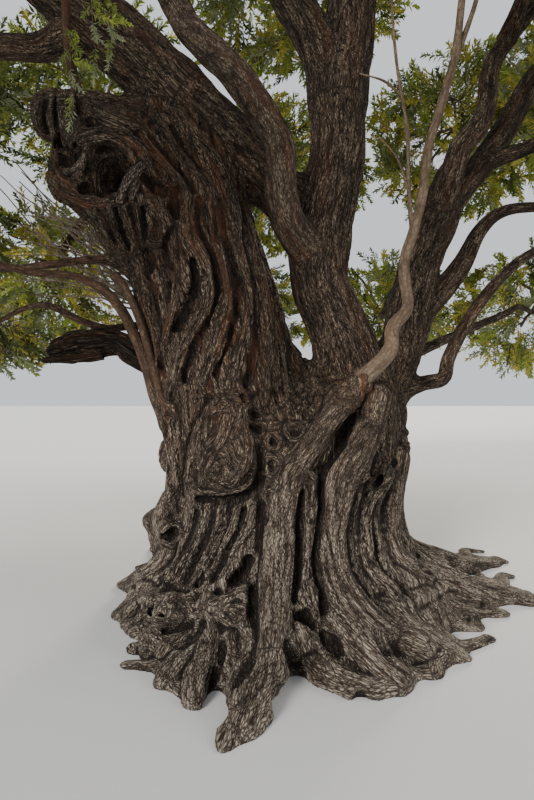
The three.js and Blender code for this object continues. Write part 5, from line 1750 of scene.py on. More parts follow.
@dataclass
class Bough:
    """One bough or shoot: a swept limb with bark, flared where it leaves another bough."""

    name: str
    plan: BoughPlan
    line: LimbLine
    material: bpy.types.Material

    AROUND = 0.0175
    ALONG = 0.03
    FLARE = 0.45
    OUT_OF_COLLAR = 0.45
    NECK = (0.85, 0.15)

    def build(self, parent: LimbLine | None) -> None:
        """Makes the bough's piece.

        Args:
            parent: the line of the bough that carries it, or None on the trunk.
        """
        relief = self.plan.bark().value
        line, arc = self.line, self.line.arc
        if parent is None:
            clear = np.interp(self.plan.collar * self.OUT_OF_COLLAR, line.t, arc)
            width = self.NECK[0] + self.NECK[1] * smooth_step(0, clear, arc)
        else:
            lift = parent.radii[np.argmin(np.linalg.norm(parent.points - line.points[0], axis=1))]
            width = 1 + self.FLARE * np.exp(-np.maximum(arc - lift * 0.9, 0) / (1.1 * line.radii[0]))
        mesh = swept(f"{self.name}_bark", line, relief, (0, arc[-1]), (self.AROUND, self.ALONG), width)
        add_piece(mesh, self.material, [self.name])


def swept(
    name: str,
    line: LimbLine,
    relief: BarkRelief,
    span: tuple[float, float],
    face: tuple[float, float],
    width: np.ndarray,
) -> bpy.types.Mesh:
    """Sweeps a closed limb with bark along a line.

    Args:
        name: the mesh's name.
        line: the limb's line.
        relief: its bark.
        span: where it begins and ends, in metres along the line.
        face: how wide and how long a face is.
        width: what the radius is multiplied by at each of the line's samples.

    Returns:
        The limb's mesh.
    """
    rings = max(4, int((span[1] - span[0]) / face[1])) + 1
    sides = max(8, int(2 * math.pi * line.radii.max() / face[0]))
    arc = np.linspace(*span, rings)
    t = np.interp(arc, line.arc, line.t)
    middle = np.stack([np.interp(arc, line.arc, line.points[:, k]) for k in range(3)], axis=1)
    middle = (middle + line.point(t)) / 2
    radius = line.radius(t) * np.interp(arc, line.arc, width)
    across = np.stack([np.interp(arc, line.arc, line.across[:, k]) for k in range(3)], axis=1)
    heading = line.heading(t)
    across -= heading * (across * heading).sum(1, keepdims=True)
    across /= np.linalg.norm(across, axis=1, keepdims=True)
    side = np.cross(across, heading)
    angle = np.linspace(0, 2 * math.pi, sides, endpoint=False)
    cos, sin = np.cos(angle), np.sin(angle)
    foot = line.points[0]
    grain = np.empty((rings, sides, 3))
    grain[..., 0] = radius[:, None] * cos + foot[0]
    grain[..., 1] = radius[:, None] * sin + foot[1]
    grain[..., 2] = arc[:, None] + foot[2]
    grain = grain.reshape(-1, 3)
    moved, groove = relief.at(grain, np.repeat(radius, sides))
    out = across[:, None] * cos[None, :, None] + side[:, None] * sin[None, :, None]
    points = middle[:, None] + out * (radius[:, None] + moved.reshape(rings, sides))[..., None]
    points = np.vstack([points.reshape(-1, 3), middle[0], middle[-1]])
    ring, spoke = np.meshgrid(np.arange(rings - 1), np.arange(sides), indexing="ij")
    this, following = ring * sides + spoke, ring * sides + (spoke + 1) % sides
    quads = np.stack([this, this + sides, following + sides, following], axis=-1).reshape(-1, 4)
    count = rings * sides
    rim, rim_on = np.arange(sides), (np.arange(sides) + 1) % sides
    first_cap = np.stack([rim, rim_on, np.full(sides, count)], axis=1)
    last_cap = np.stack([rim_on + count - sides, rim + count - sides, np.full(sides, count + 1)], axis=1)
    mesh = mesh_from(name, points, [quads, first_cap, last_cap])
    ends = np.stack([grain[0], grain[-1]])
    set_attribute(mesh, "grain", np.vstack([grain, ends]))
    # The caps' middles take the darkest groove value, so each end darkens towards its middle.
    set_attribute(mesh, "groove", np.concatenate([groove, [0.9, 0.9]]))
    set_attribute(mesh, "looks", np.tile(relief.looks, (len(points), 1)))
    return mesh


class NodeRecipe(NodeTree):
    """A Geometry Nodes tree with named inputs, which is run once on a mesh."""

    SOCKETS = {int: "NodeSocketInt", float: "NodeSocketFloat", bpy.types.Object: "NodeSocketObject"}

    def __init__(self, name: str, inputs: dict[str, type]) -> None:
        """Starts the tree.

        Args:
            name: the tree's name.
            inputs: the kind of value of each named input, besides the mesh and the material.
        """
        super().__init__(bpy.data.node_groups.new(name, "GeometryNodeTree"))
        interface = self.tree.interface
        interface.new_socket("Geometry", in_out="INPUT", socket_type="NodeSocketGeometry")
        self.names = {key: self._input(key, self.SOCKETS[kind]) for key, kind in inputs.items()}
        self.names["Finish"] = self._input("Finish", "NodeSocketMaterial")
        interface.new_socket("Geometry", in_out="OUTPUT", socket_type="NodeSocketGeometry")
        self.inputs = self.node("NodeGroupInput").outputs

    def _input(self, name: str, kind: str) -> str:
        """Adds a named input and returns its identifier."""
        return self.tree.interface.new_socket(name, in_out="INPUT", socket_type=kind).identifier

    def attribute(self, name: str, kind: str = "FLOAT") -> bpy.types.NodeSocket:
        """Returns the values of a mesh's attribute."""
        return self.node("GeometryNodeInputNamedAttribute", {"data_type": kind}, {"Name": name}).outputs[0]

    def end(self, geometry: bpy.types.NodeSocket) -> None:
        """Ends the tree: makes every copy real and gives it the finish."""
        real = self.node("GeometryNodeRealizeInstances", None, {"Geometry": geometry})
        sockets = {"Geometry": real.outputs[0], "Material": self.inputs["Finish"]}
        finish = self.node("GeometryNodeSetMaterial", None, sockets)
        self.node("NodeGroupOutput", None, {0: finish.outputs[0]})

    def run(self, name: str, mesh: bpy.types.Mesh, values: dict[str, object]) -> bpy.types.Mesh:
        """Runs the tree on a mesh.

        Args:
            name: the name of the outcome.
            mesh: the mesh to start from, which is then dropped.
            values: the inputs' values by name.

        Returns:
            A plain mesh.
        """
        source = bpy.data.objects.new(name, mesh)
        bpy.context.scene.collection.objects.link(source)
        modifier = source.modifiers.new(self.tree.name, "NODES")
        modifier.node_group = self.tree
        for key, value in values.items():
            modifier[self.names[key]] = value
        graph = bpy.context.evaluated_depsgraph_get()
        made = bpy.data.meshes.new_from_object(source.evaluated_get(graph), depsgraph=graph)
        source.modifiers.remove(modifier)
        bpy.data.objects.remove(source)
        bpy.data.meshes.remove(mesh)
        made.name = name
        return made


class BentLine:
    """A line that leaves its start along a heading and bends to its end."""

    BEND = 0.45

    def __init__(
        self, start: np.ndarray, heading: np.ndarray, end: np.ndarray, radii: tuple[float, float]
    ) -> None:
        """Lays the line."""
        self.start, self.end, self.radii = start, end, radii
        self.length = float(np.linalg.norm(end - start))
        self.knee = start + heading * self.length * self.BEND

    def point(self, t: np.ndarray | float) -> np.ndarray:
        """Returns places on the line, with t from 0 to 1."""
        t = np.atleast_1d(t)[:, None]
        return self.start * (1 - t) ** 2 + self.knee * 2 * t * (1 - t) + self.end * t**2

    def heading(self, t: np.ndarray | float) -> np.ndarray:
        """Returns unit directions along the line."""
        t = np.atleast_1d(t)[:, None]
        return unit((self.knee - self.start) * (1 - t) + (self.end - self.knee) * t)

    def radius(self, t: np.ndarray | float) -> np.ndarray:
        """Returns the twig's radius along the line."""
        return self.radii[0] + (self.radii[1] - self.radii[0]) * np.atleast_1d(t)


class Twigs:
    """Twigs of one kind, kept as rows of points and then given their thickness."""

    LIMIT = 190000

    def __init__(self, name: str, sides: int, recipe: NodeRecipe) -> None:
        """Starts with no twigs.

        Args:
            name: the pieces' name.
            sides: how many sides a twig has.
            recipe: the tree that gives a row of points its thickness.
        """
        self.name, self.sides, self.recipe = name, sides, recipe
        self.rows: list[tuple[np.ndarray, np.ndarray]] = []

    @staticmethod
    def recipe_for_all() -> NodeRecipe:
        """Returns the tree that turns rows of points into closed round twigs."""
        recipe = NodeRecipe("twig_skin", {"Sides": int})
        curve = recipe.node("GeometryNodeMeshToCurve", None, {0: recipe.inputs["Geometry"]}).outputs[0]
        round_one = {0: recipe.inputs["Sides"], "Radius": 1.0}
        circle = recipe.node("GeometryNodeCurvePrimitiveCircle", None, round_one).outputs[0]
        sockets = {0: curve, 1: circle, "Scale": recipe.attribute("girth"), "Fill Caps": True}
        recipe.end(recipe.node("GeometryNodeCurveToMesh", None, sockets).outputs[0])
        return recipe

    def add(self, points: np.ndarray, radii: np.ndarray) -> None:
        """Adds one twig."""
        self.rows.append((points, radii))

    def build(self, material: bpy.types.Material, nodes: Iterable[str]) -> None:
        """Makes the twigs' pieces, each under the limit of triangles."""
        sizes = np.cumsum([2 * self.sides * len(points) for points, _ in self.rows])
        parts = int(sizes[-1] // self.LIMIT) + 1
        edges = np.searchsorted(sizes, np.linspace(0, sizes[-1], parts + 1)[1:-1])
        for number, rows in enumerate(np.split(np.arange(len(self.rows)), edges), 1):
            name = self.name if parts == 1 else f"{self.name}_{number}"
            add_piece(self._mesh(name, [self.rows[row] for row in rows], material), None, nodes)

    def _mesh(
        self, name: str, rows: list[tuple[np.ndarray, np.ndarray]], material: bpy.types.Material
    ) -> bpy.types.Mesh:
        """Returns the mesh of some of the twigs."""
        lengths = np.array([len(points) for points, _ in rows])
        starts = np.concatenate([[0], np.cumsum(lengths)])
        links = np.concatenate([np.arange(low, high - 1) for low, high in zip(starts[:-1], starts[1:])])
        mesh = point_mesh(name, np.concatenate([points for points, _ in rows]))
        mesh.edges.add(len(links))
        mesh.edges.foreach_set("vertices", np.stack([links, links + 1], axis=1).astype(np.int32).ravel())
        set_attribute(mesh, "girth", np.concatenate([radii for _, radii in rows]))
        made = self.recipe.run(name, mesh, {"Sides": self.sides, "Finish": material})
        made.shade_smooth()
        return made


@dataclass(frozen=True)
class LeafSpray:
    """The leaves of one shoot, in pairs along +Z. A leaf is two faces, folded along its middle."""

    pairs: int = 10
    shoot: float = 0.33
    length: float = 0.112
    width: float = 0.036
    fold: float = 0.16
    lean: tuple[float, float] = (1.0, 0.4)
    roll: float = 0.5
    droop: float = 0.12
    widest: float = 0.45
    lengths: tuple[float, float] = (0.78, 1.12)
    widths: tuple[float, float] = (0.85, 1.15)

    def leaves(self) -> int:
        """Returns how many leaves a spray has."""
        return self.pairs * 2

    def mesh(self, kind: int) -> bpy.types.Mesh:
        """Returns the mesh of one of several sprays that differ a little."""
        random = np.random.default_rng(SEED + kind)
        points, faces = [], []
        for number in range(self.leaves()):
            pair, other = divmod(number, 2)
            share = (pair + 0.6 + 0.3 * random.random()) / self.pairs
            turn = pair * math.pi / 2 + other * math.pi + random.normal(0, 0.3)
            lean = self.lean[0] + (self.lean[1] - self.lean[0]) * share + random.normal(0, 0.14)
            long = self.length * random.uniform(*self.lengths) * (1 - 0.25 * share**3)
            wide = self.width * random.uniform(*self.widths)
            away = np.array([math.cos(turn), math.sin(turn), 0])
            aside = np.array([-math.sin(turn), math.cos(turn), 0])
            ahead = away * math.sin(lean) + np.array([0, 0, math.cos(lean)])
            rise = np.cross(ahead, aside)
            roll = random.normal(0, self.roll)
            aside = aside * math.cos(roll) + rise * math.sin(roll)
            rise = np.cross(ahead, aside)
            base = np.array([0, 0, self.shoot * share])
            tip = base + ahead * long - rise * long * self.droop
            edge = base + ahead * long * self.widest + rise * wide * self.fold
            first = len(points)
            points += [base, tip, edge + aside * wide / 2, edge - aside * wide / 2]
            faces += [(first, 1 + first, 2 + first), (first, 3 + first, 1 + first)]
        return mesh_from(f"spray_{kind}", np.array(points), [np.array(faces)], smooth=False)


class LeafTint(Enum):
    """The tints of the leaves, dealt out by spray: a colour, and how often it falls in front and behind."""

    # Behind the trunk the lighter yellow tints, FRESH and GOLD, fall more often and DEEP less: a painted glow
    # of backlight.
    GREEN = ("7b8843", 0.28, 0.2)
    DEEP = ("525d2e", 0.26, 0.12)
    SAGE = ("97a079", 0.18, 0.14)
    FRESH = ("9eab4a", 0.17, 0.27)
    GOLD = ("c0b752", 0.11, 0.27)

    def material(self) -> bpy.types.Material:
        """Returns the material of this tint."""
        shade = Shade(f"leaf_{self.name.lower()}")
        shade.feed(Base_Color=shade_of(self.value[0]), Roughness=0.55, Specular_IOR_Level=0.35)
        return shade.material


@dataclass
class Sprays:
    """Where sprays stand, which way they face, how large they are, and their tint's number."""

    place: np.ndarray
    facing: np.ndarray
    size: np.ndarray
    tint: np.ndarray


class Crown:
    """All the foliage: stems and twigs by the solids' own rule, then branchlets, shoots and sprays."""

    BOX_MARGIN = 0.06
    BARE_TWIGS = 46
    SPRAY_KINDS = 5
    # Masses beyond this y count as behind, where lighter tints are dealt out more as painted backlit glow.
    BACK_FROM = 1.0
    SPRIG_WAY = (0.1, -0.8, -0.4)
    SPRIG_RADII = (0.005, 0.002)
    BARE_ROOT, BARE_ROOT_SPREAD = (-1.08, 0.05, 2.35), (-0.05, 0.2, 0.5)
    BARE_TIP, BARE_TIP_SPREAD = (-1.7, 0.0, 2.7), (-1.1, 0.9, 1.5)
    BARE_WAY = (-0.8, 0.1, 0.35)
    BARE_RADII = (0.012, 0.005)

    def __init__(self, lines: dict[str, LimbLine], box: tuple[Iterable[float], Iterable[float]]) -> None:
        """Measures the room for the foliage.

        Args:
            lines: the boughs' lines by name.
            box: the lowest and the highest corner of the solids.
        """
        self.lines = lines
        self.low = np.array(box[0]) - self.BOX_MARGIN
        self.high = np.array(box[1]) + self.BOX_MARGIN
        self.at = np.array([space.at for space in SPACES.values()])
        self.reach = np.array([space.reach for space in SPACES.values()])
        every = [*lines.values(), *map(LimbLine, STEMS.values()), LimbLine(CUT_STUB), LimbLine(DEAD_STUB)]
        steps = [np.linspace(0, line.last, line.last * 6 + 1) for line in every]
        self.limbs = np.concatenate([line.point(t) for line, t in zip(every, steps)])
        self.girths = np.concatenate([line.radius(t) for line, t in zip(every, steps)])
        recipe = Twigs.recipe_for_all()
        self.stems = Twigs("crown_stems", 7, recipe)
        self.branchlets = Twigs("crown_twigs", 5, recipe)
        self.shoots = Twigs("crown_shoots", 3, recipe)
        self.sprays: list[Sprays] = []

    def room(
        self, points: np.ndarray, index: int, margin: float, clear: float, most: float = 1.0
    ) -> np.ndarray:
        """Tells which points lie in a mass's own space.

        Args:
            points: places, three to a row.
            index: the mass's number.
            margin: how much nearer the place is to this mass than to any other, as a share of reach.
            clear: how far it stays off the limbs, in metres.
            most: how far out it may lie, as a share of reach.

        Returns:
            True for each place that has room.
        """
        shares = np.linalg.norm((points[:, None] - self.at) / self.reach, axis=2)
        own = shares[:, index].copy()
        shares[:, index] = np.inf
        free = (own <= most) & (shares.min(1) > own + margin)
        free &= np.all((points > self.low) & (points < self.high), axis=1)
        rows = np.flatnonzero(free)
        for part in np.array_split(rows, max(1, len(rows) // 4000)):
            gaps = np.linalg.norm(points[part][:, None] - self.limbs, axis=2) - self.girths
            free[part] &= gaps.min(1) > clear
        return free

    def build(self) -> None:
        """Grows every mass and makes the pieces."""
        for index, name in enumerate(SPACES):
            FoliageMass(name, index, self).grow()
        for start, end in HANGING:
            self._hang(np.array(start), np.array(end))
        skin = TWIG_SKIN.material()
        for twigs in (self.stems, self.branchlets, self.shoots):
            twigs.build(skin, SPACES)
        self._bare_twigs().build(skin, ["trunk"])
        self._leaves()

    def _hang(self, start: np.ndarray, end: np.ndarray) -> None:
        """Hangs a leafy sprig from a bough."""
        random = np.random.default_rng(SEED)
        line = BentLine(start, unit(np.array(self.SPRIG_WAY)), end, self.SPRIG_RADII)
        t = np.linspace(0.2, 1, 10)
        self.shoots.add(line.point(np.linspace(0, 1, 6)), line.radius(np.linspace(0, 1, 6)))
        facing = unit(line.heading(t) + random.normal(0, 0.35, (len(t), 3)))
        tint = random.choice(4, len(t), p=(0.4, 0.1, 0.3, 0.2))
        self.sprays.append(Sprays(line.point(t), facing, random.uniform(0.35, 0.5, len(t)), tint))

    def _bare_twigs(self) -> Twigs:
        """Returns fine bare twigs that fan out from the left side of the trunk."""
        random = np.random.default_rng(SEED)
        twigs = Twigs("bare_twigs", 4, self.stems.recipe)
        for _ in range(self.BARE_TWIGS):
            start = np.array(self.BARE_ROOT) + random.uniform(0, 1, 3) * self.BARE_ROOT_SPREAD
            end = np.array(self.BARE_TIP) + random.uniform(0, 1, 3) * self.BARE_TIP_SPREAD
            heading = unit(np.array(self.BARE_WAY) + random.normal(0, 0.2, 3))
            line = BentLine(start, heading, end, self.BARE_RADII)
            t = np.linspace(0, 1, 9)
            wobble = random.normal(0, 0.012, (9, 3)) * np.minimum(1, 4 * t)[:, None]
            twigs.add(line.point(t) + wobble, line.radius(t))
        return twigs

    def _leaves(self) -> None:
        """Makes the leaves' pieces, tint by tint."""
        spray = LeafSpray()
        recipe = self._spray_recipe()
        kinds = {}
        for kind in range(self.SPRAY_KINDS):
            kinds[f"Spray {kind + 1}"] = bpy.data.objects.new(f"spray_{kind}", spray.mesh(kind))
            bpy.context.scene.collection.objects.link(kinds[f"Spray {kind + 1}"])
        place, facing, size, tint_number = (
            np.concatenate([getattr(sprays, key) for sprays in self.sprays]) for key in Sprays.__annotations__
        )
        most = Twigs.LIMIT // (spray.leaves() * 2)
        for number, tint in enumerate(LeafTint):
            rows = np.flatnonzero(tint_number == number)
            parts = np.array_split(rows, -(-len(rows) // most))
            material = tint.material()
            for part, chosen in enumerate(parts, 1):
                name = f"leaves_{tint.name.lower()}" + (f"_{part}" if len(parts) > 1 else "")
                mesh = point_mesh(name, place[chosen])
                set_attribute(mesh, "facing", facing[chosen])
                set_attribute(mesh, "size", size[chosen])
                values = {"Seed": number * 10 + part, "Leaf Size": 1.0, "Finish": material, **kinds}
                add_piece(recipe.run(name, mesh, values), None, SPACES)
        for kind in kinds.values():
            bpy.data.objects.remove(kind)

    def _spray_recipe(self) -> NodeRecipe:
        """Returns the tree that sets a spray of a random kind and turn on every point."""
        kinds = {f"Spray {kind + 1}": bpy.types.Object for kind in range(self.SPRAY_KINDS)}
        recipe = NodeRecipe("leaf_sprays", {"Seed": int, "Leaf Size": float, **kinds})
        choice = recipe.node("GeometryNodeJoinGeometry")
        for key in reversed(kinds):
            sockets = {"Object": recipe.inputs[key], "As Instance": True}
            info = recipe.node("GeometryNodeObjectInfo", None, sockets)
            recipe.put(choice.inputs[0], info.outputs["Geometry"])
        seed = recipe.inputs["Seed"]
        sockets = {"Seed": seed, 4: 0, 5: self.SPRAY_KINDS - 1}
        number = recipe.node("FunctionNodeRandomValue", {"data_type": "INT"}, sockets)
        sockets = {"Seed": seed, 0: (-1, -1, -1)}
        turned = recipe.node("FunctionNodeRandomValue", {"data_type": "FLOAT_VECTOR"}, sockets)
        facing = recipe.attribute("facing", "FLOAT_VECTOR")
        axes = {"primary_axis": "Z", "secondary_axis": "X"}
        rotation = recipe.node("FunctionNodeAxesToRotation", axes, {0: facing, 1: turned.outputs[0]})
        sockets = {0: recipe.attribute("size"), 1: recipe.inputs["Leaf Size"]}
        size = recipe.node("ShaderNodeMath", {"operation": "MULTIPLY"}, sockets)
        points = recipe.node("GeometryNodeMeshToPoints", None, {0: recipe.inputs["Geometry"]})
        sockets = {
            "Points": points.outputs[0], "Instance": choice.outputs[0], "Pick Instance": True,
            "Instance Index": number.outputs[2], "Rotation": rotation.outputs[0], "Scale": size.outputs[0],
        }
        recipe.end(recipe.node("GeometryNodeInstanceOnPoints", None, sockets).outputs[0])
        return recipe


class FoliageMass:
    """One mass of the crown: a stem from its bough's tip, twigs bent out to the rim, and their growth."""

    TWIG_FROM = 0.5
    TWIG_REACH, TWIG_VARY, TWIG_STEP, TWIG_LEAST = 0.9, 0.1, 0.06, 0.4
    TWIG_RADII = (0.03, 0.018)
    LIMB_CLEAR = 0.045
    SPACE_MARGIN = 0.035
    # Branchlets to a cubic metre of reach, and the power that thins them out in large masses.
    BRANCHLETS = 25.0
    BRANCHLET_POWER = 0.75
    BRANCHLET_TIP = 0.0035
    BRANCHLET_ROOT, BRANCHLET_ROOT_SHARE = 0.012, 0.62
    BRANCHLET_LEAST = 0.25
    STRAY = 0.12
    # Where branchlets end, as shares of reach, near the rim or further in, and how often near the rim.
    OUTER, INNER, OUTER_ODDS = (0.76, 0.93), (0.36, 0.76), 0.6
    TOO_NEAR = 0.12
    # How much a branchlet starts along the wood that carries it, and how much towards its end.
    ONWARD, AIMED = 0.75, 0.55
    STEM_WOBBLE, BRANCHLET_WOBBLE = 0.012, 0.014
    SPRAYS_A_METRE = 30
    SPRAYS_EACH = (8, 34)
    SPRAY_SIZES = (0.8, 1.15)
    TRIES, TRY_TURN = 4, 1.9
    STALK = (0.03, 0.22)
    SHOOT_RADII = (0.0035, 0.0026, 0.0014)

    def __init__(self, name: str, index: int, crown: Crown) -> None:
        """Finds the mass's bough and its space.

        Args:
            name: the mass's name.
            index: its number in the list of spaces.
            crown: the crown that it belongs to.
        """
        self.index, self.crown, self.space = index, crown, SPACES[name]
        self.at, self.reach = crown.at[index], crown.reach[index]
        self.bough = next(crown.lines[key] for key, plan in BOUGHS.items() if plan.into == name)
        self.random = np.random.default_rng(SEED + index)

    def grow(self) -> None:
        """Grows the mass into the crown's twigs and sprays."""
        numbers = SeededNumbers(SEED + self.index)
        top = self.at + np.array([0, 0, self.reach[2] * STEM_RISE])
        end = self.bough.last
        radii = (float(self.bough.radius(end)[0]) * STEM_SHARE, self.TWIG_RADII[0])
        stem = BentLine(self.bough.point(end)[0], self.bough.heading(end)[0], top, radii)
        grown = [stem]
        turn = numbers() * math.pi * 2
        for n in range(self.space.twigs):
            start = self.TWIG_FROM + (1 - self.TWIG_FROM) * ((n + 0.5) / self.space.twigs)
            numbers()
            twig = self._twig(stem, start, self._spread(n, self.space.twigs, turn), numbers)
            if twig:
                grown.append(twig)
        for line in grown:
            t = np.linspace(0, 1, 11)
            wobble = self.random.normal(0, self.STEM_WOBBLE, (11, 3))
            wobble *= np.minimum(1, 6 * t * (1 - t))[:, None]
            self.crown.stems.add(line.point(t) + wobble, line.radius(t))
        self._sprout(self._branchlets(grown))

    @staticmethod
    def _spread(n: int, count: int, turn: float) -> np.ndarray:
        """Returns the n-th of count directions spread evenly over a ball."""
        height = 1 - (2 * (n + 0.5)) / count
        angle, flat = turn + n * GOLDEN_ANGLE, math.sqrt(1 - height**2)
        return np.array([flat * math.cos(angle), flat * math.sin(angle), height])

    def _twig(self, stem: BentLine, start: float, out: np.ndarray, numbers: SeededNumbers) -> BentLine | None:
        """Returns one twig, or nothing where its end has no room."""
        lift = np.array([0, 0, 0.3 + 0.4 * numbers()])
        heading = unit(stem.heading(start)[0] * 0.6 + lift)
        share = self.TWIG_REACH - self.TWIG_VARY * numbers()
        while share > self.TWIG_LEAST:
            end = self.at + out * self.reach * share
            if self.crown.room(end[None], self.index, self.SPACE_MARGIN, self.LIMB_CLEAR)[0]:
                return BentLine(stem.point(start)[0], heading, end, self.TWIG_RADII)
            share -= self.TWIG_STEP
        return None

    def _branchlets(self, grown: list[BentLine]) -> list[BentLine]:
        """Grows branchlets that fill the space, each from the wood that leads best to its end.

        Args:
            grown: the stem and the twigs.

        Returns:
            The branchlets.
        """
        random = self.random
        count = max(6, round(self.BRANCHLETS * float(np.prod(self.reach)) ** self.BRANCHLET_POWER))
        turn = random.random() * math.pi * 2
        even = np.array([self._spread(n, count, turn) for n in range(count)])
        ways = even + random.normal(0, self.STRAY, (count, 3))
        depth = random.random(count)
        outer, inner = random.uniform(*self.OUTER, count), random.uniform(*self.INNER, count)
        shares = np.where(depth < self.OUTER_ODDS, outer, inner)
        ends = []
        for way, share in zip(unit(ways), shares):
            while share > self.BRANCHLET_LEAST:
                end = self.at + way * self.reach * share
                if self.crown.room(end[None], self.index, 0, self.LIMB_CLEAR)[0]:
                    ends.append(end)
                    break
                share -= self.TWIG_STEP
        samples = np.linspace(0.3, 1, 8)
        places = np.concatenate([line.point(samples) for line in grown])
        headings = np.concatenate([line.heading(samples) for line in grown])
        girths = np.concatenate([line.radius(samples) for line in grown])
        made = []
        for end in sorted(ends, key=lambda place: float(np.linalg.norm(place - grown[0].start))):
            gap = end - places
            far = np.linalg.norm(gap, axis=1)
            ahead = (gap * headings).sum(1) / np.maximum(far, 1e-6)
            best = int(np.argmin(far * (1.8 - ahead) + np.where(far < self.TOO_NEAR, 1.0, 0)))
            heading = headings[best] * self.ONWARD + gap[best] / far[best] * self.AIMED
            heading = unit(heading + random.normal(0, self.STRAY, 3))
            root = min(self.BRANCHLET_ROOT, girths[best] * self.BRANCHLET_ROOT_SHARE)
            line = BentLine(places[best], heading, end, (root, self.BRANCHLET_TIP))
            made.append(line)
            t = np.linspace(0.25, 0.9, 6)
            places = np.concatenate([places, line.point(t)])
            headings = np.concatenate([headings, line.heading(t)])
            girths = np.concatenate([girths, line.radius(t)])
            t = np.linspace(0, 1, 7)
            wobble = random.normal(0, self.BRANCHLET_WOBBLE, (7, 3))
            wobble *= np.minimum(1, 5 * t * (1 - t))[:, None]
            self.crown.branchlets.add(line.point(t) + wobble, line.radius(t))
        return made

    def _sprout(self, branchlets: list[BentLine]) -> None:
        """Sets shoots with sprays of leaves in turn along the branchlets."""
        random, shoot = self.random, LeafSpray().shoot
        roots, aheads, leans = [], [], []
        for line in branchlets:
            count = int(np.clip(line.length * self.SPRAYS_A_METRE, *self.SPRAYS_EACH))
            t = np.linspace(max(0.12, 0.3 - 0.1 * line.length), 1, count)
            roots.append(line.point(t))
            aheads.append(line.heading(t))
            leans.append(np.where(t > 0.97, 0.12, 0.95 - 0.35 * t))
        root, ahead, lean = (np.concatenate(rows) for rows in (roots, aheads, leans))
        count = len(root)
        size = random.uniform(*self.SPRAY_SIZES, count)
        stalk = random.uniform(*self.STALK, count)
        roll = np.arange(count) * GOLDEN_ANGLE + random.normal(0, 0.4, count)
        placed = np.zeros(count, bool)
        knee, facing = np.zeros((count, 3)), np.zeros((count, 3))
        for attempt in range(self.TRIES):
            turn = roll + attempt * self.TRY_TURN
            around = np.stack([np.cos(turn), np.sin(turn), np.full(count, 0.25)], axis=1)
            aside = unit(np.cross(around, ahead))
            heading = ahead * np.cos(lean)[:, None] + aside * np.sin(lean)[:, None]
            bent = root + heading * stalk[:, None]
            height = (bent[:, 2] - self.at[2]) / self.reach[2]
            drawn = np.stack([np.zeros(count), np.zeros(count), 0.22 * height - 0.1], axis=1)
            looks = unit(heading + drawn + random.normal(0, 0.16, (count, 3)))
            tips = bent + looks * (shoot * size)[:, None]
            free = self.crown.room(tips, self.index, -0.03, 0.03, 1.03) & ~placed
            free &= self.crown.room(bent, self.index, -0.06, 0.02, 1.03)
            knee[free], facing[free] = bent[free], looks[free]
            placed |= free
        root, knee, facing, size = root[placed], knee[placed], facing[placed], size[placed]
        for start, middle, look, scale in zip(root, knee, facing, size):
            points = np.array([start, middle, middle + look * shoot * scale])
            self.crown.shoots.add(points, np.array(self.SHOOT_RADII))
        # Masses behind the trunk take the behind odds, which paint a backlit glow with lighter tints.
        odds = np.array([tint.value[2 if self.at[1] > Crown.BACK_FROM else 1] for tint in LeafTint])
        tint = random.choice(len(odds), len(root), p=odds / odds.sum())
        self.crown.sprays.append(Sprays(knee, facing, size, tint))


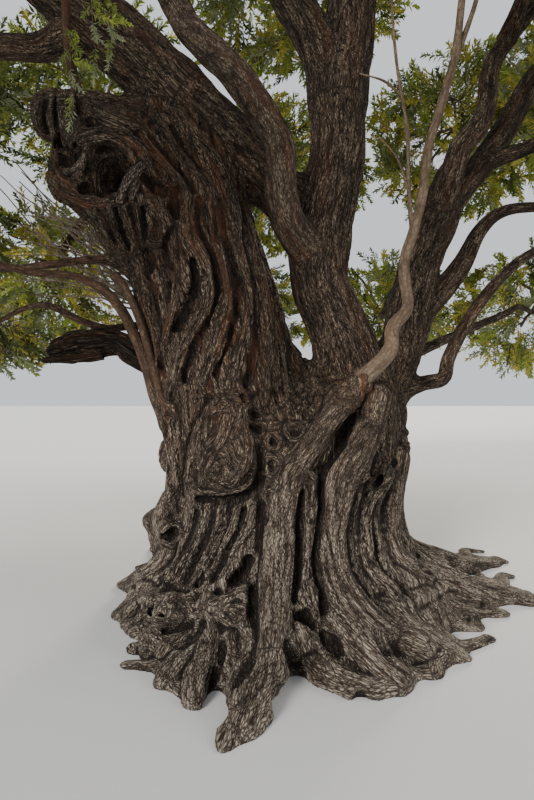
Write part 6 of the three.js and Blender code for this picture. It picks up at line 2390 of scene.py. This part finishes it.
@dataclass
class Studio:
    """A plain pale floor, soft light, and the camera where the photographer stood."""

    LAMPS = (
        ("front_lamp", (-6.5, -8.5, 4.5), 22.0, 3.9, (1.0, 0.97, 0.93)),
        ("side_lamp", (8.5, -1.0, 3.2), 30.0, 1.6, (1.0, 0.95, 0.88)),
        ("back_lamp", (4.5, 12.0, 5.0), 15.0, 3.2, (1.0, 0.9, 0.72)),
    )

    lens: float = 21.6
    film: float = 36.0
    floor_size: float = 240.0
    floor_gap: float = 0.002
    floor_tone: float = 0.62
    sky_tone: tuple[float, float, float] = (0.86, 0.9, 0.95)
    sky_strength: float = 0.95

    def build(self) -> None:
        """Makes the floor, the sky, the lamps and the camera."""
        half = self.floor_size / 2
        level = -self.floor_gap
        sides = ((-half, -half), (half, -half), (half, half), (-half, half))
        corners = np.array([(*side, level) for side in sides])
        mesh = mesh_from("floor", corners, [np.array([[0, 1, 2, 3]])], smooth=False)
        floor = bpy.data.objects.new("floor", mesh)
        bpy.context.scene.collection.objects.link(floor)
        shade = Shade("floor")
        shade.feed(Base_Color=(self.floor_tone,) * 3 + (1.0,), Roughness=0.9)
        floor.data.materials.append(shade.material)
        floor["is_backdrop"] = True
        world = bpy.data.worlds.new("sky")
        world.use_nodes = True
        background = world.node_tree.nodes["Background"]
        background.inputs["Color"].default_value = (*self.sky_tone, 1.0)
        background.inputs["Strength"].default_value = self.sky_strength
        bpy.context.scene.world = world
        for lamp in self.LAMPS:
            self._lamp(*lamp)
        lens = bpy.data.cameras.new("camera")
        lens.lens, lens.sensor_width, lens.sensor_fit = self.lens, self.film, "AUTO"
        camera = bpy.data.objects.new("camera", lens)
        camera.location, camera.rotation_euler = EYE, (math.pi / 2, 0, 0)
        bpy.context.scene.collection.objects.link(camera)
        bpy.context.scene.camera = camera

    @staticmethod
    def _lamp(
        name: str, toward: tuple[float, ...], spread: float, strength: float, tone: tuple[float, ...]
    ) -> None:
        """Hangs a soft, even lamp.

        Args:
            name: the lamp's name.
            toward: where it shines from.
            spread: how wide it looks from the tree, in degrees.
            strength: how bright it is.
            tone: its colour.
        """
        lamp = bpy.data.lights.new(name, "SUN")
        lamp.angle, lamp.energy, lamp.color = math.radians(spread), strength, tone
        holder = bpy.data.objects.new(name, lamp)
        holder.location = toward
        holder.rotation_euler = (-Vector(toward)).to_track_quat("-Z", "Y").to_euler()
        bpy.context.scene.collection.objects.link(holder)


def main() -> None:
    """Builds the tree and its studio."""
    logging.basicConfig(level=logging.INFO, format="%(name)s: %(message)s")
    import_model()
    cad_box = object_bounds()
    lines = {name: LimbLine(plan.stations()) for name, plan in BOUGHS.items()}
    bark, pale, young = (finish.material() for finish in (OLD_BARK, PALE_SKIN, YOUNG_SKIN))
    Trunk(lines, bark).build()
    for name, plan in BOUGHS.items():
        skin = young if name.startswith("shoot") else pale if plan.pale else bark
        Bough(name, plan, lines[name], skin).build(lines.get(plan.on))
    for name, (parent, is_pale, stations) in SLIM_SHOOTS.items():
        line = LimbLine(stations)
        mesh = swept(name, line, Bark.SMOOTH.value, (0, line.arc[-1]), SLIM_FACE, np.ones(len(line.t)))
        add_piece(mesh, pale if is_pale else young, [parent])
    torn = TORN_WOOD.material()
    stub = LimbLine(DEAD_STUB, per_station=6)
    for number, line in enumerate((stub, *map(LimbLine, PRONGS))):
        start, name = (line.arc[4], "stub_left_wood") if line is stub else (0, f"stub_left_prong_{number}")
        width = np.full(len(line.t), DEAD_WIDTH)
        mesh = swept(name, line, Bark.DEAD.value, (start, line.arc[-1]), DEAD_FACE, width)
        add_piece(mesh, torn, ["stub_left"])
    Crown(lines, cad_box).build()
    Studio().build()


if __name__ == "__main__":
    main()
